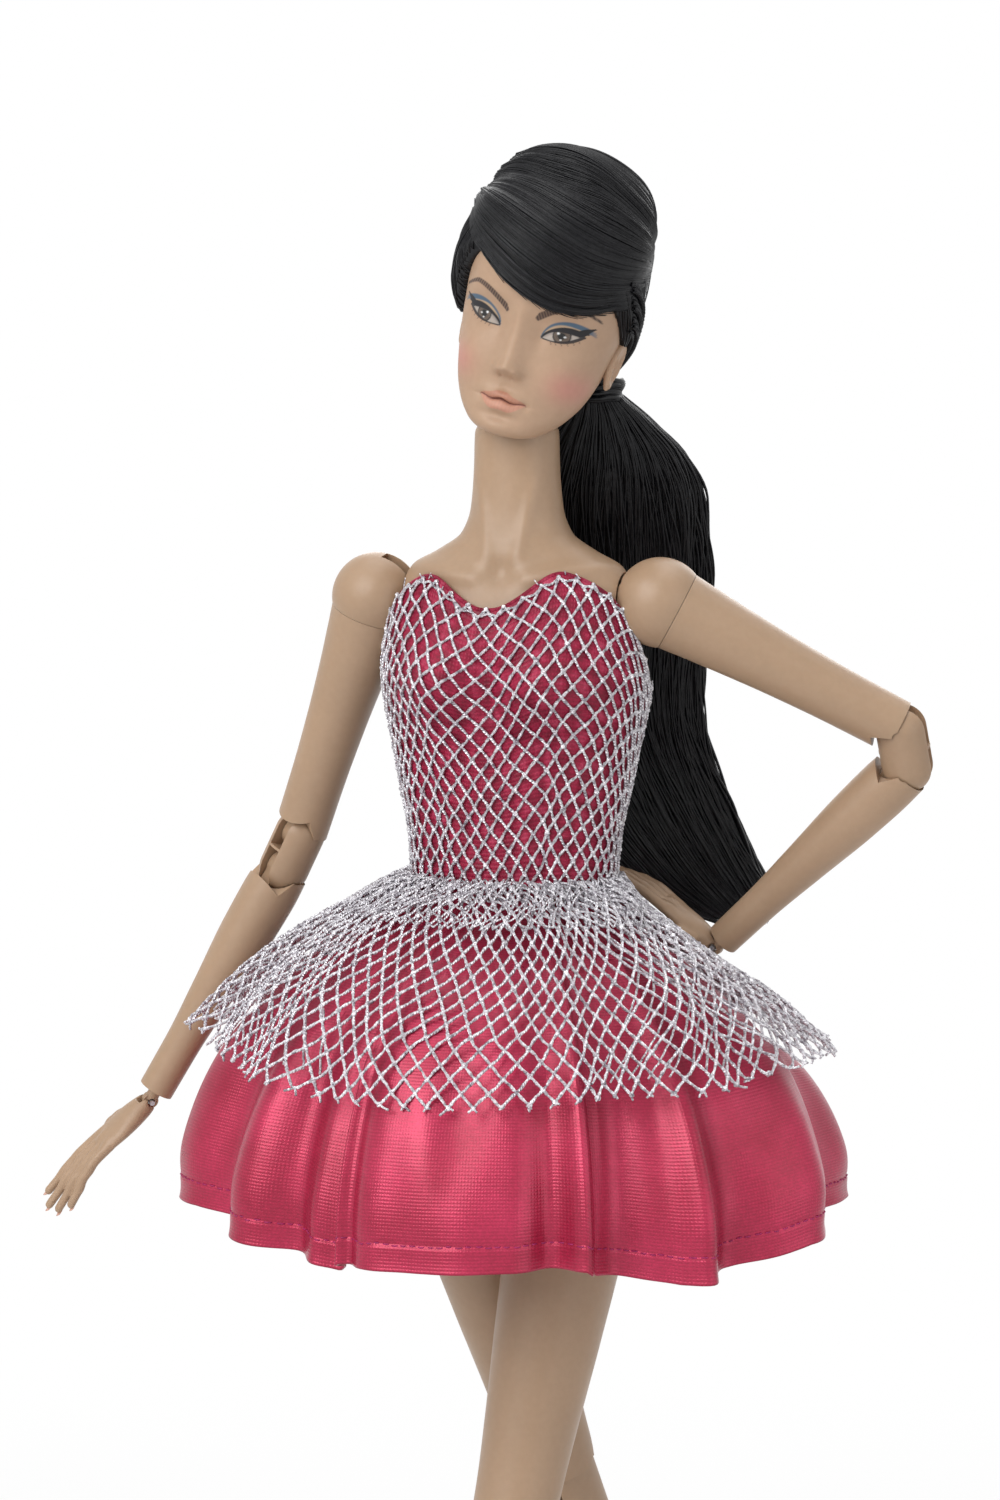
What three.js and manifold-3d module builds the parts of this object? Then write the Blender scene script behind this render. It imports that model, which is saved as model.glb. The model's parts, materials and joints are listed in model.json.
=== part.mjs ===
// A jointed fashion doll in a strapless dress with a net overlay. Millimetres, +Z up.
// Unposed, the doll faces -Y and its left hand is on the +X side.
import * as THREE from 'three';
import { mergeVertices } from 'three/addons/utils/BufferGeometryUtils.js';
import Module from 'manifold-3d';

const wasm = await Module();
wasm.setup();

// Clearances
const gap = 0.3;
const overrun = 2;
const far = 60;

// Body
const waistHeight = 196;
const torsoHeight = 75;
const chestHalfWidth = 21;
const chestHalfDepth = 12;
const cavityWidthShare = 0.6;
const cavityDepthShare = 0.72;
const cavityRiseShares = [-0.28, -0.14, 0, 0.16, 0.36, 0.54, 0.66];
const hipDropShare = 0.507;
const hipHalfSpacing = 12.3;
const shoulderRiseShare = 0.611;
const shoulderHalfSpacing = 24.2;
const neckPivotClearance = 1.7;
const neckForward = 1.5;
const bustHalfSpacing = 9.2;
const bustRiseShare = 0.447;
const bustOut = 6.2;
const bustSpread = 7.4;

// Head and hair
const headHeight = 46;
const chinDropShare = 0.126;
const headHalfWidth = 12.4;
const headHalfDepth = 14;
const headForward = 3.6;
const noseRiseShare = 0.226;
const noseOut = 2.6;
const noseSpread = 1.7;
const earHeight = 8.5;
const earRiseShare = 0.292;
const neckRoomRadius = 7.4;
const neckRoomDepth = 20;
const neckRoomFlareShare = 1.5;
const hairThickness = 2.3;
const hairlineRiseShare = 0.757;
const hairlineTilt = 52;
const tieRadius = 3.6;
const tieThickness = 1.1;
const tieRiseShare = 0.235;
const tieAcrossShare = 0.62;
const tieBackShare = 0.82;
const ponytailHalfWidth = 17;
const ponytailHalfThickness = 5.4;

// Neck joint
const neck = {
  hingeDrop: 7, knobRadius: 2.5, knobWidth: 3, pinRadius: 0.8, pinLength: 8.6, socketRadius: 4.4,
  socketTop: 5, socketBottom: 1.2, postRadius: 1.8, postLength: 5,
};

// Limb joints: ball or knuckle, the tongue that fits its slot, the pin through both
const shoulder = {
  ballRadius: 7.3, seamDrop: 3, tongueRadius: 2.4, tongueWidth: 2.4, pinRadius: 0.9, pinWall: 2,
  shaftRadius: 2.2, shaftEnd: 14.8, flangeRadius: 3.2, flangeWidth: 1.5,
  postRadius: 2.2, postLength: 6, liftMostAngle: 78, armpitDepth: 13,
};
const hip = {
  ballRadius: 10.4, barrelRadius: 3.4, rodRadius: 1.5, rodReach: 9, pinRadius: 1.2,
  pinWall: 3.4, spreadLeastAngle: -22, spreadMostAngle: 30, strideAngles: [-30, -60, -85],
};
const elbow = {
  radius: 4.2, spacing: 6.4, tongueRadius: 2.1, tongueWidth: 2.4, pinRadius: 0.8, pinWall: 0.7,
  bendAngle: 62, lip: 0.4, forwards: true,
};
const knee = {
  radius: 6.3, spacing: 9, tongueRadius: 3, tongueWidth: 3.2, pinRadius: 1.2, pinWall: 0.9,
  bendAngle: 62, lip: 0.5, forwards: false,
};
const wrist = {
  postRadius: 1.1, postLength: 4.6, drop: 2.1, tongueRadius: 1.3, tongueWidth: 1.3, pinRadius: 0.45,
  pinLength: 3.2,
};

// Limbs, from hinge to hinge
const upperArm = { length: 40.5, radius: 6.6 };
const forearm = { length: 44, radius: 4.75 };
const hand = {
  palmLength: 11, palmHalfWidth: 3.6, palmHalfDepth: 1.9, fingerLength: 14.5, fingerRadius: 0.95,
  thumbLength: 9.6, thumbRadius: 1.06, thumbSpreadAngle: 38, thumbCurlAngle: 28,
};
const thigh = { length: 68, radius: 10.3 };
const shin = { length: 62, radius: 7.8 };
const foot = { drop: 22, reach: 18, toeLength: 9, halfWidth: 4.6, padDepth: 0.5 };

// Dress
const dress = {
  bottomRise: 2, bustEase: 1.3, fit: 0.65, lining: 0.8, netInset: 1.02, netStrand: 0.5, netHalfStrand: 0.3,
  topRiseShare: 0.687, topDip: 8, topBackDrop: 19, closureWidth: 6, closureThickness: 0.7,
};
const skirt = {
  top: -2, drop: 50, back: 0.5, waistHalfWidth: 17, waistHalfDepth: 12, hemHalfWidth: 53, hemHalfDepth: 43,
  thickness: 0.8, foldDepth: 2.6, folds: 11, foldTurn: 0.6, facets: 50,
};
const peplum = {
  top: 0.4, drop: 25, back: 0.5, waistHalfWidth: 17.8, waistHalfDepth: 12.8, hemHalfWidth: 52,
  hemHalfDepth: 44, foldDepth: 1.6, folds: 11, foldTurn: 0.9, columns: 22, rows: 5,
};
const bodiceNet = { columns: 16, rows: 6 };
// Where the left hand rests and presses the cloth down, in degrees from the doll's left side to its back
const restingHand = { turnAngle: 34, spreadAngle: 32, clearance: 0.9 };

// Pose of the photographed doll, in degrees: turn of the torso, then each joint away from straight
const torsoTurnAngle = -18;
const headPose = { nodAngle: 3, tiltAngle: 16, turnAngle: -5 };
const leftArmPose = {
  swingAngle: 27, liftAngle: 58.6, twistAngle: 76.8, bendUpperAngle: 53, bendLowerAngle: 53,
  rollAngle: -161.5, flexAngle: 83,
};
const rightArmPose = {
  swingAngle: 8.5, liftAngle: 21.2, twistAngle: -34, bendUpperAngle: 9, bendLowerAngle: 7,
  rollAngle: 160.6, flexAngle: 20,
};
const leftLegPose = { swingAngle: -13, spreadAngle: -7, bendUpperAngle: 5, bendLowerAngle: 5 };
const rightLegPose = { swingAngle: 15, spreadAngle: -12, bendUpperAngle: 4, bendLowerAngle: 5 };

// Places that follow from the sizes above
const hipDrop = hipDropShare * torsoHeight;
const shoulderRise = shoulderRiseShare * torsoHeight;
const bustRise = bustRiseShare * torsoHeight;
const neckPivotRise = torsoHeight + neckPivotClearance;
const chinDrop = chinDropShare * headHeight;
const noseRise = noseRiseShare * headHeight - chinDrop;
const earRise = earRiseShare * headHeight - chinDrop;
const hairlineRise = hairlineRiseShare * headHeight - chinDrop;
const tieRise = tieRiseShare * headHeight - chinDrop;

// Facets
const limbSides = 10;
const ballSides = 10;
const pinSides = 8;
const capRings = 3;
const footSides = 8;
const bodySides = 24;
const headSides = 20;
const capSides = 16;
const ponytailSides = 14;
const tieSides = 14;
const cordSides = 6;
const fingerSides = 5;
const earSides = 10;
const seatSides = 20;

// Outlines, as shares of the sizes above. Torso rows go from the crotch to the top of the neck:
// height of torsoHeight above the waist, half width, half depth, shift to the back of chestHalfDepth.
const torsoShares = [
  [-0.555, 0.1, 0.3, 0.1], [-0.545, 0.3, 0.62, 0.1], [-0.5, 0.66, 1, 0.12], [-0.44, 0.92, 1.15, 0.14],
  [-0.35, 1.04, 1.2, 0.14], [-0.24, 0.99, 1.1, 0.08], [-0.12, 0.83, 0.93, 0.02], [0, 0.73, 0.81, 0],
  [0.1, 0.755, 0.83, 0.02], [0.22, 0.84, 0.9, 0.05], [0.34, 0.9, 0.95, 0.08], [0.45, 0.93, 0.98, 0.1],
  [0.54, 0.945, 0.95, 0.12], [0.62, 0.955, 0.87, 0.14], [0.685, 0.84, 0.76, 0.14], [0.72, 0.62, 0.68, 0.13],
  [0.755, 0.43, 0.61, 0.13], [0.81, 0.35, 0.56, 0.13], [0.9, 0.315, 0.53, 0.125], [0.972, 0.31, 0.52, 0.125],
];
// Head rows: height above the chin, half width, reach to the front, reach to the back
const headShares = [
  [0, 0.1, 0.52, -0.3], [0.012, 0.3, 0.6, -0.08], [0.05, 0.48, 0.64, 0.14], [0.11, 0.64, 0.645, 0.36],
  [0.18, 0.76, 0.64, 0.58], [0.27, 0.87, 0.645, 0.78], [0.36, 0.95, 0.66, 0.92], [0.45, 0.985, 0.69, 1.01],
  [0.54, 1, 0.755, 1.07], [0.63, 1.01, 0.82, 1.09], [0.72, 0.99, 0.85, 1.06], [0.8, 0.92, 0.8, 0.97],
  [0.87, 0.79, 0.67, 0.81], [0.93, 0.6, 0.49, 0.61], [0.97, 0.4, 0.31, 0.4], [1, 0.1, 0.06, 0.1],
];
// Limb rows: place along the limb, half width, half depth, shift to the back of the limb's radius
const upperArmShares = [
  [0, 1, 1, 0], [0.12, 0.92, 0.93, 0], [0.28, 0.82, 0.85, 0], [0.5, 0.735, 0.76, 0], [0.75, 0.69, 0.7, 0],
  [1, 0.68, 0.68, 0],
];
const forearmShares = [
  [0, 0.93, 0.93, 0], [0.12, 1, 0.97, 0], [0.28, 0.98, 0.93, 0], [0.55, 0.8, 0.76, 0], [0.8, 0.63, 0.58, 0],
  [1, 0.6, 0.52, 0],
];
const thighShares = [
  [0, 0.97, 1, 0], [0.12, 0.97, 1.02, 0], [0.3, 0.94, 1, 0], [0.52, 0.85, 0.9, 0], [0.76, 0.73, 0.76, 0],
  [0.92, 0.67, 0.69, 0], [1, 0.66, 0.68, 0],
];
const shinShares = [
  [0, 0.86, 0.87, 0], [0.1, 0.86, 0.87, 0.05], [0.26, 0.96, 1, 0.14], [0.42, 0.88, 0.94, 0.14],
  [0.64, 0.62, 0.68, 0.06], [0.85, 0.46, 0.52, 0], [1, 0.44, 0.52, 0],
];
// Foot rows: share of the drop, share of the reach to the front, half width and half depth of its half width
const footShares = [
  [-0.08, 0, 0.72, 0.86], [0.2, 0.08, 0.76, 1], [0.45, 0.36, 0.74, 0.9], [0.7, 0.68, 0.86, 0.66],
  [0.86, 1, 1, 0.44],
];
// Ponytail rows: drop below the tie, shift to the left, shift to the back, half width, half thickness
const ponytailLength = 90;
const ponytailLean = 27;
const ponytailBack = 17;
const ponytailShares = [
  [0, -0.02, 0.02, 0.26, 0.7], [0.06, -0.02, 0.12, 0.5, 0.95], [0.2, -0.14, 0.33, 1.12, 1.05],
  [0.4, 0, 0.63, 1, 0.95], [0.6, 0.08, 0.86, 0.9, 0.9], [0.76, 0.3, 1.04, 0.92, 0.9],
  [0.9, 0.6, 1.1, 0.78, 0.85], [0.97, 0.88, 1.1, 0.42, 0.6], [1, 1, 1.1, 0.15, 0.25],
];
// Fringe rows, in the head: across of the head's half width, rise of its height, out of its half depth,
// then half height and half thickness of the fringe
const fringeHalfHeight = 8.4;
const fringeHalfThickness = 2.7;
const fringeShares = [
  [-0.66, 0.79, 0.82, 0.3, 0.5], [-0.44, 0.8, 0.98, 0.74, 0.95], [-0.1, 0.79, 1.07, 0.98, 1.05],
  [0.3, 0.765, 1.03, 1, 1.05], [0.72, 0.72, 0.86, 0.94, 1], [1.04, 0.67, 0.5, 0.78, 0.9],
  [1.2, 0.6, 0.1, 0.46, 0.7], [1.2, 0.53, -0.14, 0.16, 0.4],
];
// Skirt and peplum rows: place along the cloth, share of the drop, share of the way outwards, and share
// of the dent under the resting hand
const skirtShares = [
  [0, 0, 0, 0], [0.15, 0.09, 0.2, 1], [0.3, 0.21, 0.42, 1], [0.45, 0.35, 0.62, 0.8], [0.6, 0.5, 0.78, 0.5],
  [0.8, 0.74, 0.92, 0.2], [1, 1, 1, 0],
];
const peplumShares = [
  [0, 0, 0, 0], [0.2, 0.13, 0.2, 0.9], [0.4, 0.32, 0.44, 1], [0.7, 0.62, 0.74, 0.6], [1, 1, 1, 0.2],
];
const skirtPlaceShares = [0, 0.14, 0.3, 0.5, 0.75, 1];
const bodicePlaceShares = [0, 0.2, 0.4, 0.55, 0.66, 0.76, 0.87, 1];
const netFullnessShare = 0.9;
const restingPlaces = Array.from({ length: 21 }, (_, n) => n / 20);
const restingLeastShare = 0.4;
const closurePlaceShares = [0.02, 0.25, 0.5, 0.75, 0.98];
// Hand rows: place along the palm, half width, half depth. Fingers: place, thickness.
const palmShares = [[0.02, 0.5, 0.8], [0.12, 0.58, 0.95], [0.34, 0.8, 1], [0.7, 1, 0.82], [1, 0.94, 0.62]];
const fingerShares = [[0, 1], [0.5, 0.98], [1, 0.55]];
// Fingers: place across the palm, length, fan and curl in degrees
const fingerPlaceShares = [[-0.72, 0.9, -7, 14], [-0.24, 1, -2, 20], [0.24, 0.95, 3, 26], [0.7, 0.8, 8, 30]];
const shoulderSlotSteps = [0, 0.33, 0.67, 1];
const tongueNeckShare = 0.85;

// Materials
function paint(colour, roughness, metalness) {
  return new THREE.MeshStandardMaterial({ color: colour, roughness, metalness });
}
const skinPlastic = paint('#b98d6b', 0.42, 0);
const skinVinyl = paint('#c69a78', 0.5, 0);
const jointPlastic = paint('#ad8363', 0.45, 0);
const innerPlastic = paint('#d9d2c6', 0.5, 0);
const pinSteel = paint('#b9bcc0', 0.3, 0.9);
const blackHair = paint('#121214', 0.4, 0);
const pinkCloth = paint('#c42a5e', 0.55, 0);
const pinkLame = paint('#d6336c', 0.35, 0.1);
const silverNet = paint('#c6c6ce', 0.3, 0.7);
const hookTape = paint('#b3234f', 0.8, 0);

// Geometry helpers
function radians(degrees) {
  return THREE.MathUtils.degToRad(degrees);
}

function mix(a, b, share) {
  return a + (b - a) * share;
}

function bump(distance, spread) {
  return Math.exp(-((distance / spread) ** 2));
}

function signedVolume(geometry) {
  const at = geometry.attributes.position;
  const index = geometry.index;
  const corners = [new THREE.Vector3(), new THREE.Vector3(), new THREE.Vector3()];
  let total = 0;
  for (let i = 0; i < index.count; i += 3) {
    corners.forEach((corner, n) => corner.fromBufferAttribute(at, index.getX(i + n)));
    total += corners[0].dot(corners[1].cross(corners[2]));
  }
  return total;
}

// A closed mesh from points and triangles, with its faces turned outwards
function closedMesh(points, triangles) {
  const geometry = new THREE.BufferGeometry().setFromPoints(points);
  geometry.setIndex(triangles);
  if (signedVolume(geometry) < 0) {
    geometry.setIndex(triangles.map((_, n) => triangles[n - (n % 3) + 2 - (n % 3)]));
  }
  return geometry;
}

// A skin over rings of points, closed at both ends by a fan
function loft(rings) {
  const sides = rings[0].length;
  const points = rings.flat();
  const triangles = [];
  for (let r = 0; r + 1 < rings.length; r += 1) {
    for (let s = 0; s < sides; s += 1) {
      const a = r * sides + s;
      const b = r * sides + ((s + 1) % sides);
      triangles.push(a, b, b + sides, a, b + sides, a + sides);
    }
  }
  for (const [ring, start] of [[rings[0], 0], [rings.at(-1), (rings.length - 1) * sides]]) {
    const middle = ring.reduce((sum, p) => sum.add(p), new THREE.Vector3()).divideScalar(sides);
    points.push(middle);
    for (let s = 0; s < sides; s += 1) {
      const pair = [start + s, start + ((s + 1) % sides)];
      triangles.push(points.length - 1, ...(start === 0 ? pair.reverse() : pair));
    }
  }
  return closedMesh(points, triangles);
}

// A skin over rings that closes on itself, as a shell's outside, rim, inside and other rim do
function ringLoft(rings) {
  const sides = rings[0].length;
  const triangles = [];
  for (let r = 0; r < rings.length; r += 1) {
    const next = ((r + 1) % rings.length) * sides;
    for (let s = 0; s < sides; s += 1) {
      const t = (s + 1) % sides;
      triangles.push(r * sides + s, r * sides + t, next + t, r * sides + s, next + t, next + s);
    }
  }
  return closedMesh(rings.flat(), triangles);
}

function circle(sides, place) {
  return Array.from({ length: sides }, (_, s) => place((2 * Math.PI * s) / sides));
}

function asSolid(geometry) {
  const bare = geometry.clone();
  bare.deleteAttribute('normal');
  bare.deleteAttribute('uv');
  const merged = mergeVertices(bare);
  return new wasm.Manifold(new wasm.Mesh({
    numProp: 3, vertProperties: merged.attributes.position.array, triVerts: merged.index.array,
  }));
}

function asGeometry(solid) {
  const mesh = solid.getMesh();
  const geometry = new THREE.BufferGeometry();
  geometry.setAttribute('position', new THREE.BufferAttribute(mesh.vertProperties, 3));
  geometry.setIndex(new THREE.BufferAttribute(mesh.triVerts, 1));
  return geometry;
}

function join(first, ...others) {
  return asGeometry(others.reduce((sum, other) => sum.add(asSolid(other)), asSolid(first)));
}

function cut(first, ...others) {
  return asGeometry(others.reduce((rest, other) => rest.subtract(asSolid(other)), asSolid(first)));
}

function common(first, second) {
  return asGeometry(asSolid(first).intersect(asSolid(second)));
}

function ball(radius, at = new THREE.Vector3(), sides = ballSides) {
  const geometry = new THREE.SphereGeometry(radius, sides, sides / 2 + 1).rotateX(Math.PI / 2);
  return geometry.translate(...at.toArray());
}

// The radius of a faceted seat whose flats stay clear of a ball of the given radius
function seatRadius(radius) {
  return (radius + gap) / Math.cos(Math.PI / ballSides);
}

function rod(radius, length, axis, at = new THREE.Vector3(), sides = pinSides) {
  const geometry = new THREE.CylinderGeometry(radius, radius, length, sides);
  if (axis === 'x') geometry.rotateZ(Math.PI / 2);
  if (axis === 'z') geometry.rotateX(Math.PI / 2);
  return geometry.translate(...at.toArray());
}

function block(x, y, z, at = new THREE.Vector3()) {
  return new THREE.BoxGeometry(x, y, z).translate(...at.toArray());
}

function at(x, y, z) {
  return new THREE.Vector3(x, y, z);
}

// The value of a table of rows at a place given by each row's first entry, eased between rows
function rowAt(rows, place) {
  const last = rows.length - 1;
  const upper = Math.min(Math.max(rows.findIndex((row) => row[0] >= place), 1), last);
  const n = rows.findIndex((row) => row[0] >= place) < 0 ? last : upper;
  const [a, b] = [rows[n - 1], rows[n]];
  const share = THREE.MathUtils.clamp((place - a[0]) / (b[0] - a[0]), 0, 1);
  return a.map((value, k) => mix(value, b[k], share));
}

// Torso surface: a point at an angle round the body, at a rise above the waist, pushed out by a distance.
// Angle zero is the doll's left side and -90 degrees is its front.
function torsoPoint(angle, rise, out = 0) {
  const [, width, depth, back] = rowAt(torsoShares, rise / torsoHeight);
  const x = Math.cos(angle) * (width * chestHalfWidth + out);
  let y = back * chestHalfDepth + Math.sin(angle) * (depth * chestHalfDepth + out);
  if (Math.sin(angle) < 0) {
    const bust = bump(Math.abs(x) - bustHalfSpacing, bustSpread) * bump(rise - bustRise, bustSpread);
    const fullness = out > 0 ? bustOut + dress.bustEase + out * netFullnessShare : bustOut;
    y += Math.sin(angle) * fullness * bust;
  }
  return at(x, y, waistHeight + rise);
}

function torsoRing(rise, out = 0, sides = bodySides) {
  return circle(sides, (angle) => torsoPoint(angle, rise, out));
}

function limbLoft(size, rows, sides = limbSides) {
  return loft(rows.map(([along, width, depth, back]) => circle(sides, (angle) => at(
    Math.cos(angle) * width * size.radius,
    Math.sin(angle) * depth * size.radius + back * size.radius,
    -along * size.length,
  ))));
}

// Cuts a limb's end for a knuckle and gives it the tongue that goes into the knuckle's slot.
// towards is 1 where the limb is above the hinge and -1 where it is below.
function knuckleEnd(limb, joint, height, towards) {
  const centre = at(0, 0, height);
  const seat = seatRadius(joint.radius);
  const lean = radians(joint.bendAngle);
  const swept = block(far, far, far, at(0, far / 2, seat - far / 2)).rotateX(-(Math.PI / 2 - lean));
  if (joint.forwards) swept.rotateZ(Math.PI);
  if (towards < 0) swept.rotateZ(Math.PI).rotateX(Math.PI);
  swept.translate(0, 0, height);
  const beyond = block(far, far, far, at(0, 0, height + towards * (joint.lip - far / 2)));
  const cupped = cut(limb, ball(seat, centre), swept, beyond);
  const neckLength = seat + overrun / 2;
  const neckMiddle = at(0, 0, height + towards * neckLength / 2);
  const tongue = join(
    rod(joint.tongueRadius, joint.tongueWidth, 'x', centre),
    block(joint.tongueWidth, 2 * joint.tongueRadius * tongueNeckShare, neckLength, neckMiddle),
  );
  return cut(join(cupped, tongue), rod(joint.pinRadius + gap, far, 'x', centre));
}

// A knuckle with its upper hinge at the origin and its lower one below it
function knuckleBody(joint) {
  const low = at(0, 0, -joint.spacing);
  const capsule = new THREE.CapsuleGeometry(joint.radius, joint.spacing, capRings, ballSides);
  capsule.rotateX(Math.PI / 2).translate(0, 0, -joint.spacing / 2);
  const slotWidth = joint.tongueWidth + 2 * gap;
  const slotDepth = joint.tongueRadius + gap;
  const slotLength = slotDepth + joint.radius + overrun;
  const slotMiddle = slotLength / 2 - slotDepth;
  const boreLength = 2 * (joint.radius - joint.pinWall);
  return cut(
    capsule,
    block(slotWidth, far, slotLength, at(0, 0, slotMiddle)),
    block(slotWidth, far, slotLength, at(0, 0, -joint.spacing - slotMiddle)),
    rod(joint.pinRadius + gap, boreLength, 'x'),
    rod(joint.pinRadius + gap, boreLength, 'x', low),
  );
}

// An elbow folds forwards and a knee backwards
function bendSign(joint) {
  return joint.forwards ? -1 : 1;
}

function knucklePin(joint) {
  return rod(joint.pinRadius, 2 * (joint.radius - joint.pinWall - gap), 'x');
}

// Scene graph helpers
const doll = new THREE.Group();
const axes = { x: at(1, 0, 0), y: at(0, 1, 0), z: at(0, 0, 1) };

// A joint is a group whose origin is on the joint's axis, turned about it from straight
function joint(parent, name, place, axis, degrees) {
  const turned = new THREE.Group();
  turned.name = name;
  turned.userData.axis = axis;
  turned.position.copy(place);
  turned.rotateOnAxis(axes[axis], radians(degrees));
  parent.add(turned);
  return turned;
}

function piece(parent, name, geometry, material) {
  const mesh = new THREE.Mesh(geometry, material);
  mesh.name = name;
  parent.add(mesh);
  return mesh;
}

// Places in the torso
const neckPivot = at(0, neckForward, waistHeight + neckPivotRise);
const neckHinge = at(0, neckForward, waistHeight + neckPivotRise - neck.hingeDrop);
function shoulderPlace(side) {
  return at(side * shoulderHalfSpacing, neckForward, waistHeight + shoulderRise);
}
function hipPlace(side) {
  return at(side * hipHalfSpacing, neckForward, waistHeight - hipDrop);
}
const hipSeat = hip.ballRadius + gap;

// What the torso gives up for one side's arm and leg
function limbSeats(side) {
  const arm = shoulderPlace(side);
  const leg = hipPlace(side);
  const bore = shoulder.shaftEnd + overrun;
  const reach = hipSeat + far;
  const middle = leg.x + side * (reach / 2 - hipSeat);
  const spread = block(far, 2 * hipSeat, far, at(side * (hipSeat - far / 2), 0, -far / 2));
  spread.rotateY(-side * radians(hip.spreadMostAngle)).translate(...leg.toArray());
  const armpitMiddle = at(arm.x, arm.y, arm.z - shoulder.armpitDepth / 2);
  const strides = hip.strideAngles.map((degrees) => rod(hipSeat, far, 'z', at(0, 0, -far / 2), limbSides)
    .rotateX(radians(degrees)).translate(...leg.toArray()));
  return [
    ball(seatRadius(shoulder.ballRadius), arm),
    rod(seatRadius(upperArm.radius), shoulder.armpitDepth, 'z', armpitMiddle, limbSides),
    rod(shoulder.shaftRadius + gap, bore, 'x', at(arm.x - side * bore / 2, arm.y, arm.z), ballSides),
    rod(hipSeat, reach, 'x', at(middle, leg.y, leg.z), seatSides),
    block(reach, far, far, at(middle, 0, leg.z - far / 2)),
    spread,
    ...strides,
  ];
}

// Torso: a front and a back shell round a hollow, with the seats of the arms, legs and neck
function buildTorso(parent) {
  const rises = torsoShares.map((row) => row[0] * torsoHeight);
  const outside = loft(rises.map((rise) => torsoRing(rise)));
  const cavity = loft(cavityRiseShares.map((share) => {
    const rise = share * torsoHeight;
    const [, width, depth, back] = rowAt(torsoShares, share);
    return circle(bodySides / 2, (angle) => at(
      Math.cos(angle) * width * chestHalfWidth * cavityWidthShare,
      back * chestHalfDepth + Math.sin(angle) * depth * chestHalfDepth * cavityDepthShare,
      waistHeight + rise,
    ));
  }));
  const forkLength = neck.knobRadius + gap + neck.hingeDrop + overrun;
  const fork = block(
    neck.knobWidth + 2 * gap, far, forkLength,
    at(0, 0, neckHinge.z - neck.knobRadius - gap + forkLength / 2),
  );
  const neckBore = rod(neck.pinRadius + gap, neck.pinLength + 2 * gap, 'x', neckHinge);
  const hipBore = rod(hip.rodRadius + gap, 2 * hipHalfSpacing, 'x', hipPlace(0));
  const body = cut(outside, cavity, fork, neckBore, hipBore, ...limbSeats(1), ...limbSeats(-1));
  const half = far + gap / 2;
  const front = block(4 * far, 2 * far, 8 * far, at(0, neckForward - half, waistHeight));
  const back = block(4 * far, 2 * far, 8 * far, at(0, neckForward + half, waistHeight));
  piece(parent, 'torso_front', common(body, front), skinPlastic);
  piece(parent, 'torso_back', common(body, back), skinPlastic);
  piece(parent, 'hip_rod', rod(hip.rodRadius, 2 * hip.rodReach, 'x', hipPlace(0)), pinSteel);
}

// Head surface: a point at an angle round the head, at a share of its height, pushed out by a distance.
// The head's frame has its origin at the pivot, over the neck.
function headPoint(angle, share, out = 0) {
  const [, width, front, back] = rowAt(headShares, share);
  const rise = share * headHeight - chinDrop;
  const frontY = -front * headHalfDepth;
  const backY = back * headHalfDepth;
  const middleY = (frontY + backY) / 2;
  const x = Math.cos(angle) * (width * headHalfWidth + out);
  let y = middleY - headForward + Math.sin(angle) * ((backY - frontY) / 2 + out);
  if (Math.sin(angle) < 0) {
    y -= noseOut * bump(x, noseSpread) * bump(rise - noseRise, noseSpread * 1.5);
  }
  const lifted = share > 0.5 ? out * (share - 0.5) * 2 : -out * (0.5 - share);
  return at(x, y, rise + lifted);
}

function headLoft(out, sides = headSides, step = 1) {
  const rows = headShares.filter((_, n) => n % step === 0 || n === headShares.length - 1);
  return loft(rows.map(([share]) => circle(sides, (angle) => headPoint(angle, share, out))));
}

function ear(side, out = 0) {
  const made = ball(earHeight / 2 + out, at(0, 0, 0), earSides);
  made.scale(0.42, 0.55, 1).rotateX(radians(-12));
  return made.translate(side * headHalfWidth * 0.97, earHeight * 0.1, earRise);
}

// The room in the head and hair for the neck and for the socket it turns on
function neckRoom() {
  const wide = neckRoomRadius * neckRoomFlareShare;
  const taper = new THREE.CylinderGeometry(neckRoomRadius, wide, neckRoomDepth, seatSides);
  taper.rotateX(Math.PI / 2).translate(0, 0, -neckRoomDepth / 2);
  taper.rotateY(-radians(headPose.tiltAngle));
  return taper;
}

function buildHead(parent) {
  const roomHeight = neck.socketTop + gap;
  const room = rod(neckRoomRadius, 2 * roomHeight, 'z', at(0, 0, 0), seatSides);
  const postBore = rod(neck.postRadius + gap, 2 * (neck.socketTop + neck.postLength + gap), 'z');
  const skull = join(headLoft(0), ear(1), ear(-1));
  piece(parent, 'head', cut(skull, room, neckRoom(), postBore), skinVinyl);

  const shell = cut(headLoft(hairThickness, capSides, 2), headLoft(gap));
  const face = block(4 * far, far, 2 * far, at(0, -far / 2, 0)).rotateX(radians(90 - hairlineTilt));
  face.translate(0, -headHalfDepth, hairlineRise);
  const cap = cut(shell, face, room, neckRoom(), ear(1, gap), ear(-1, gap));
  piece(parent, 'hair_cap', cap, blackHair);

  const fringe = loft(fringeShares.map(([across, rise, front, height, thick]) => {
    const middle = at(
      across * headHalfWidth, -headForward - front * headHalfDepth, rise * headHeight - chinDrop,
    );
    const outward = at(middle.x, middle.y + headForward, 0).normalize();
    return circle(limbSides, (angle) => middle.clone()
      .addScaledVector(outward, Math.cos(angle) * thick * fringeHalfThickness)
      .addScaledVector(axes.z, Math.sin(angle) * height * fringeHalfHeight));
  }));
  piece(parent, 'fringe', cut(fringe, headLoft(hairThickness + gap)), blackHair);
}

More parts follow.
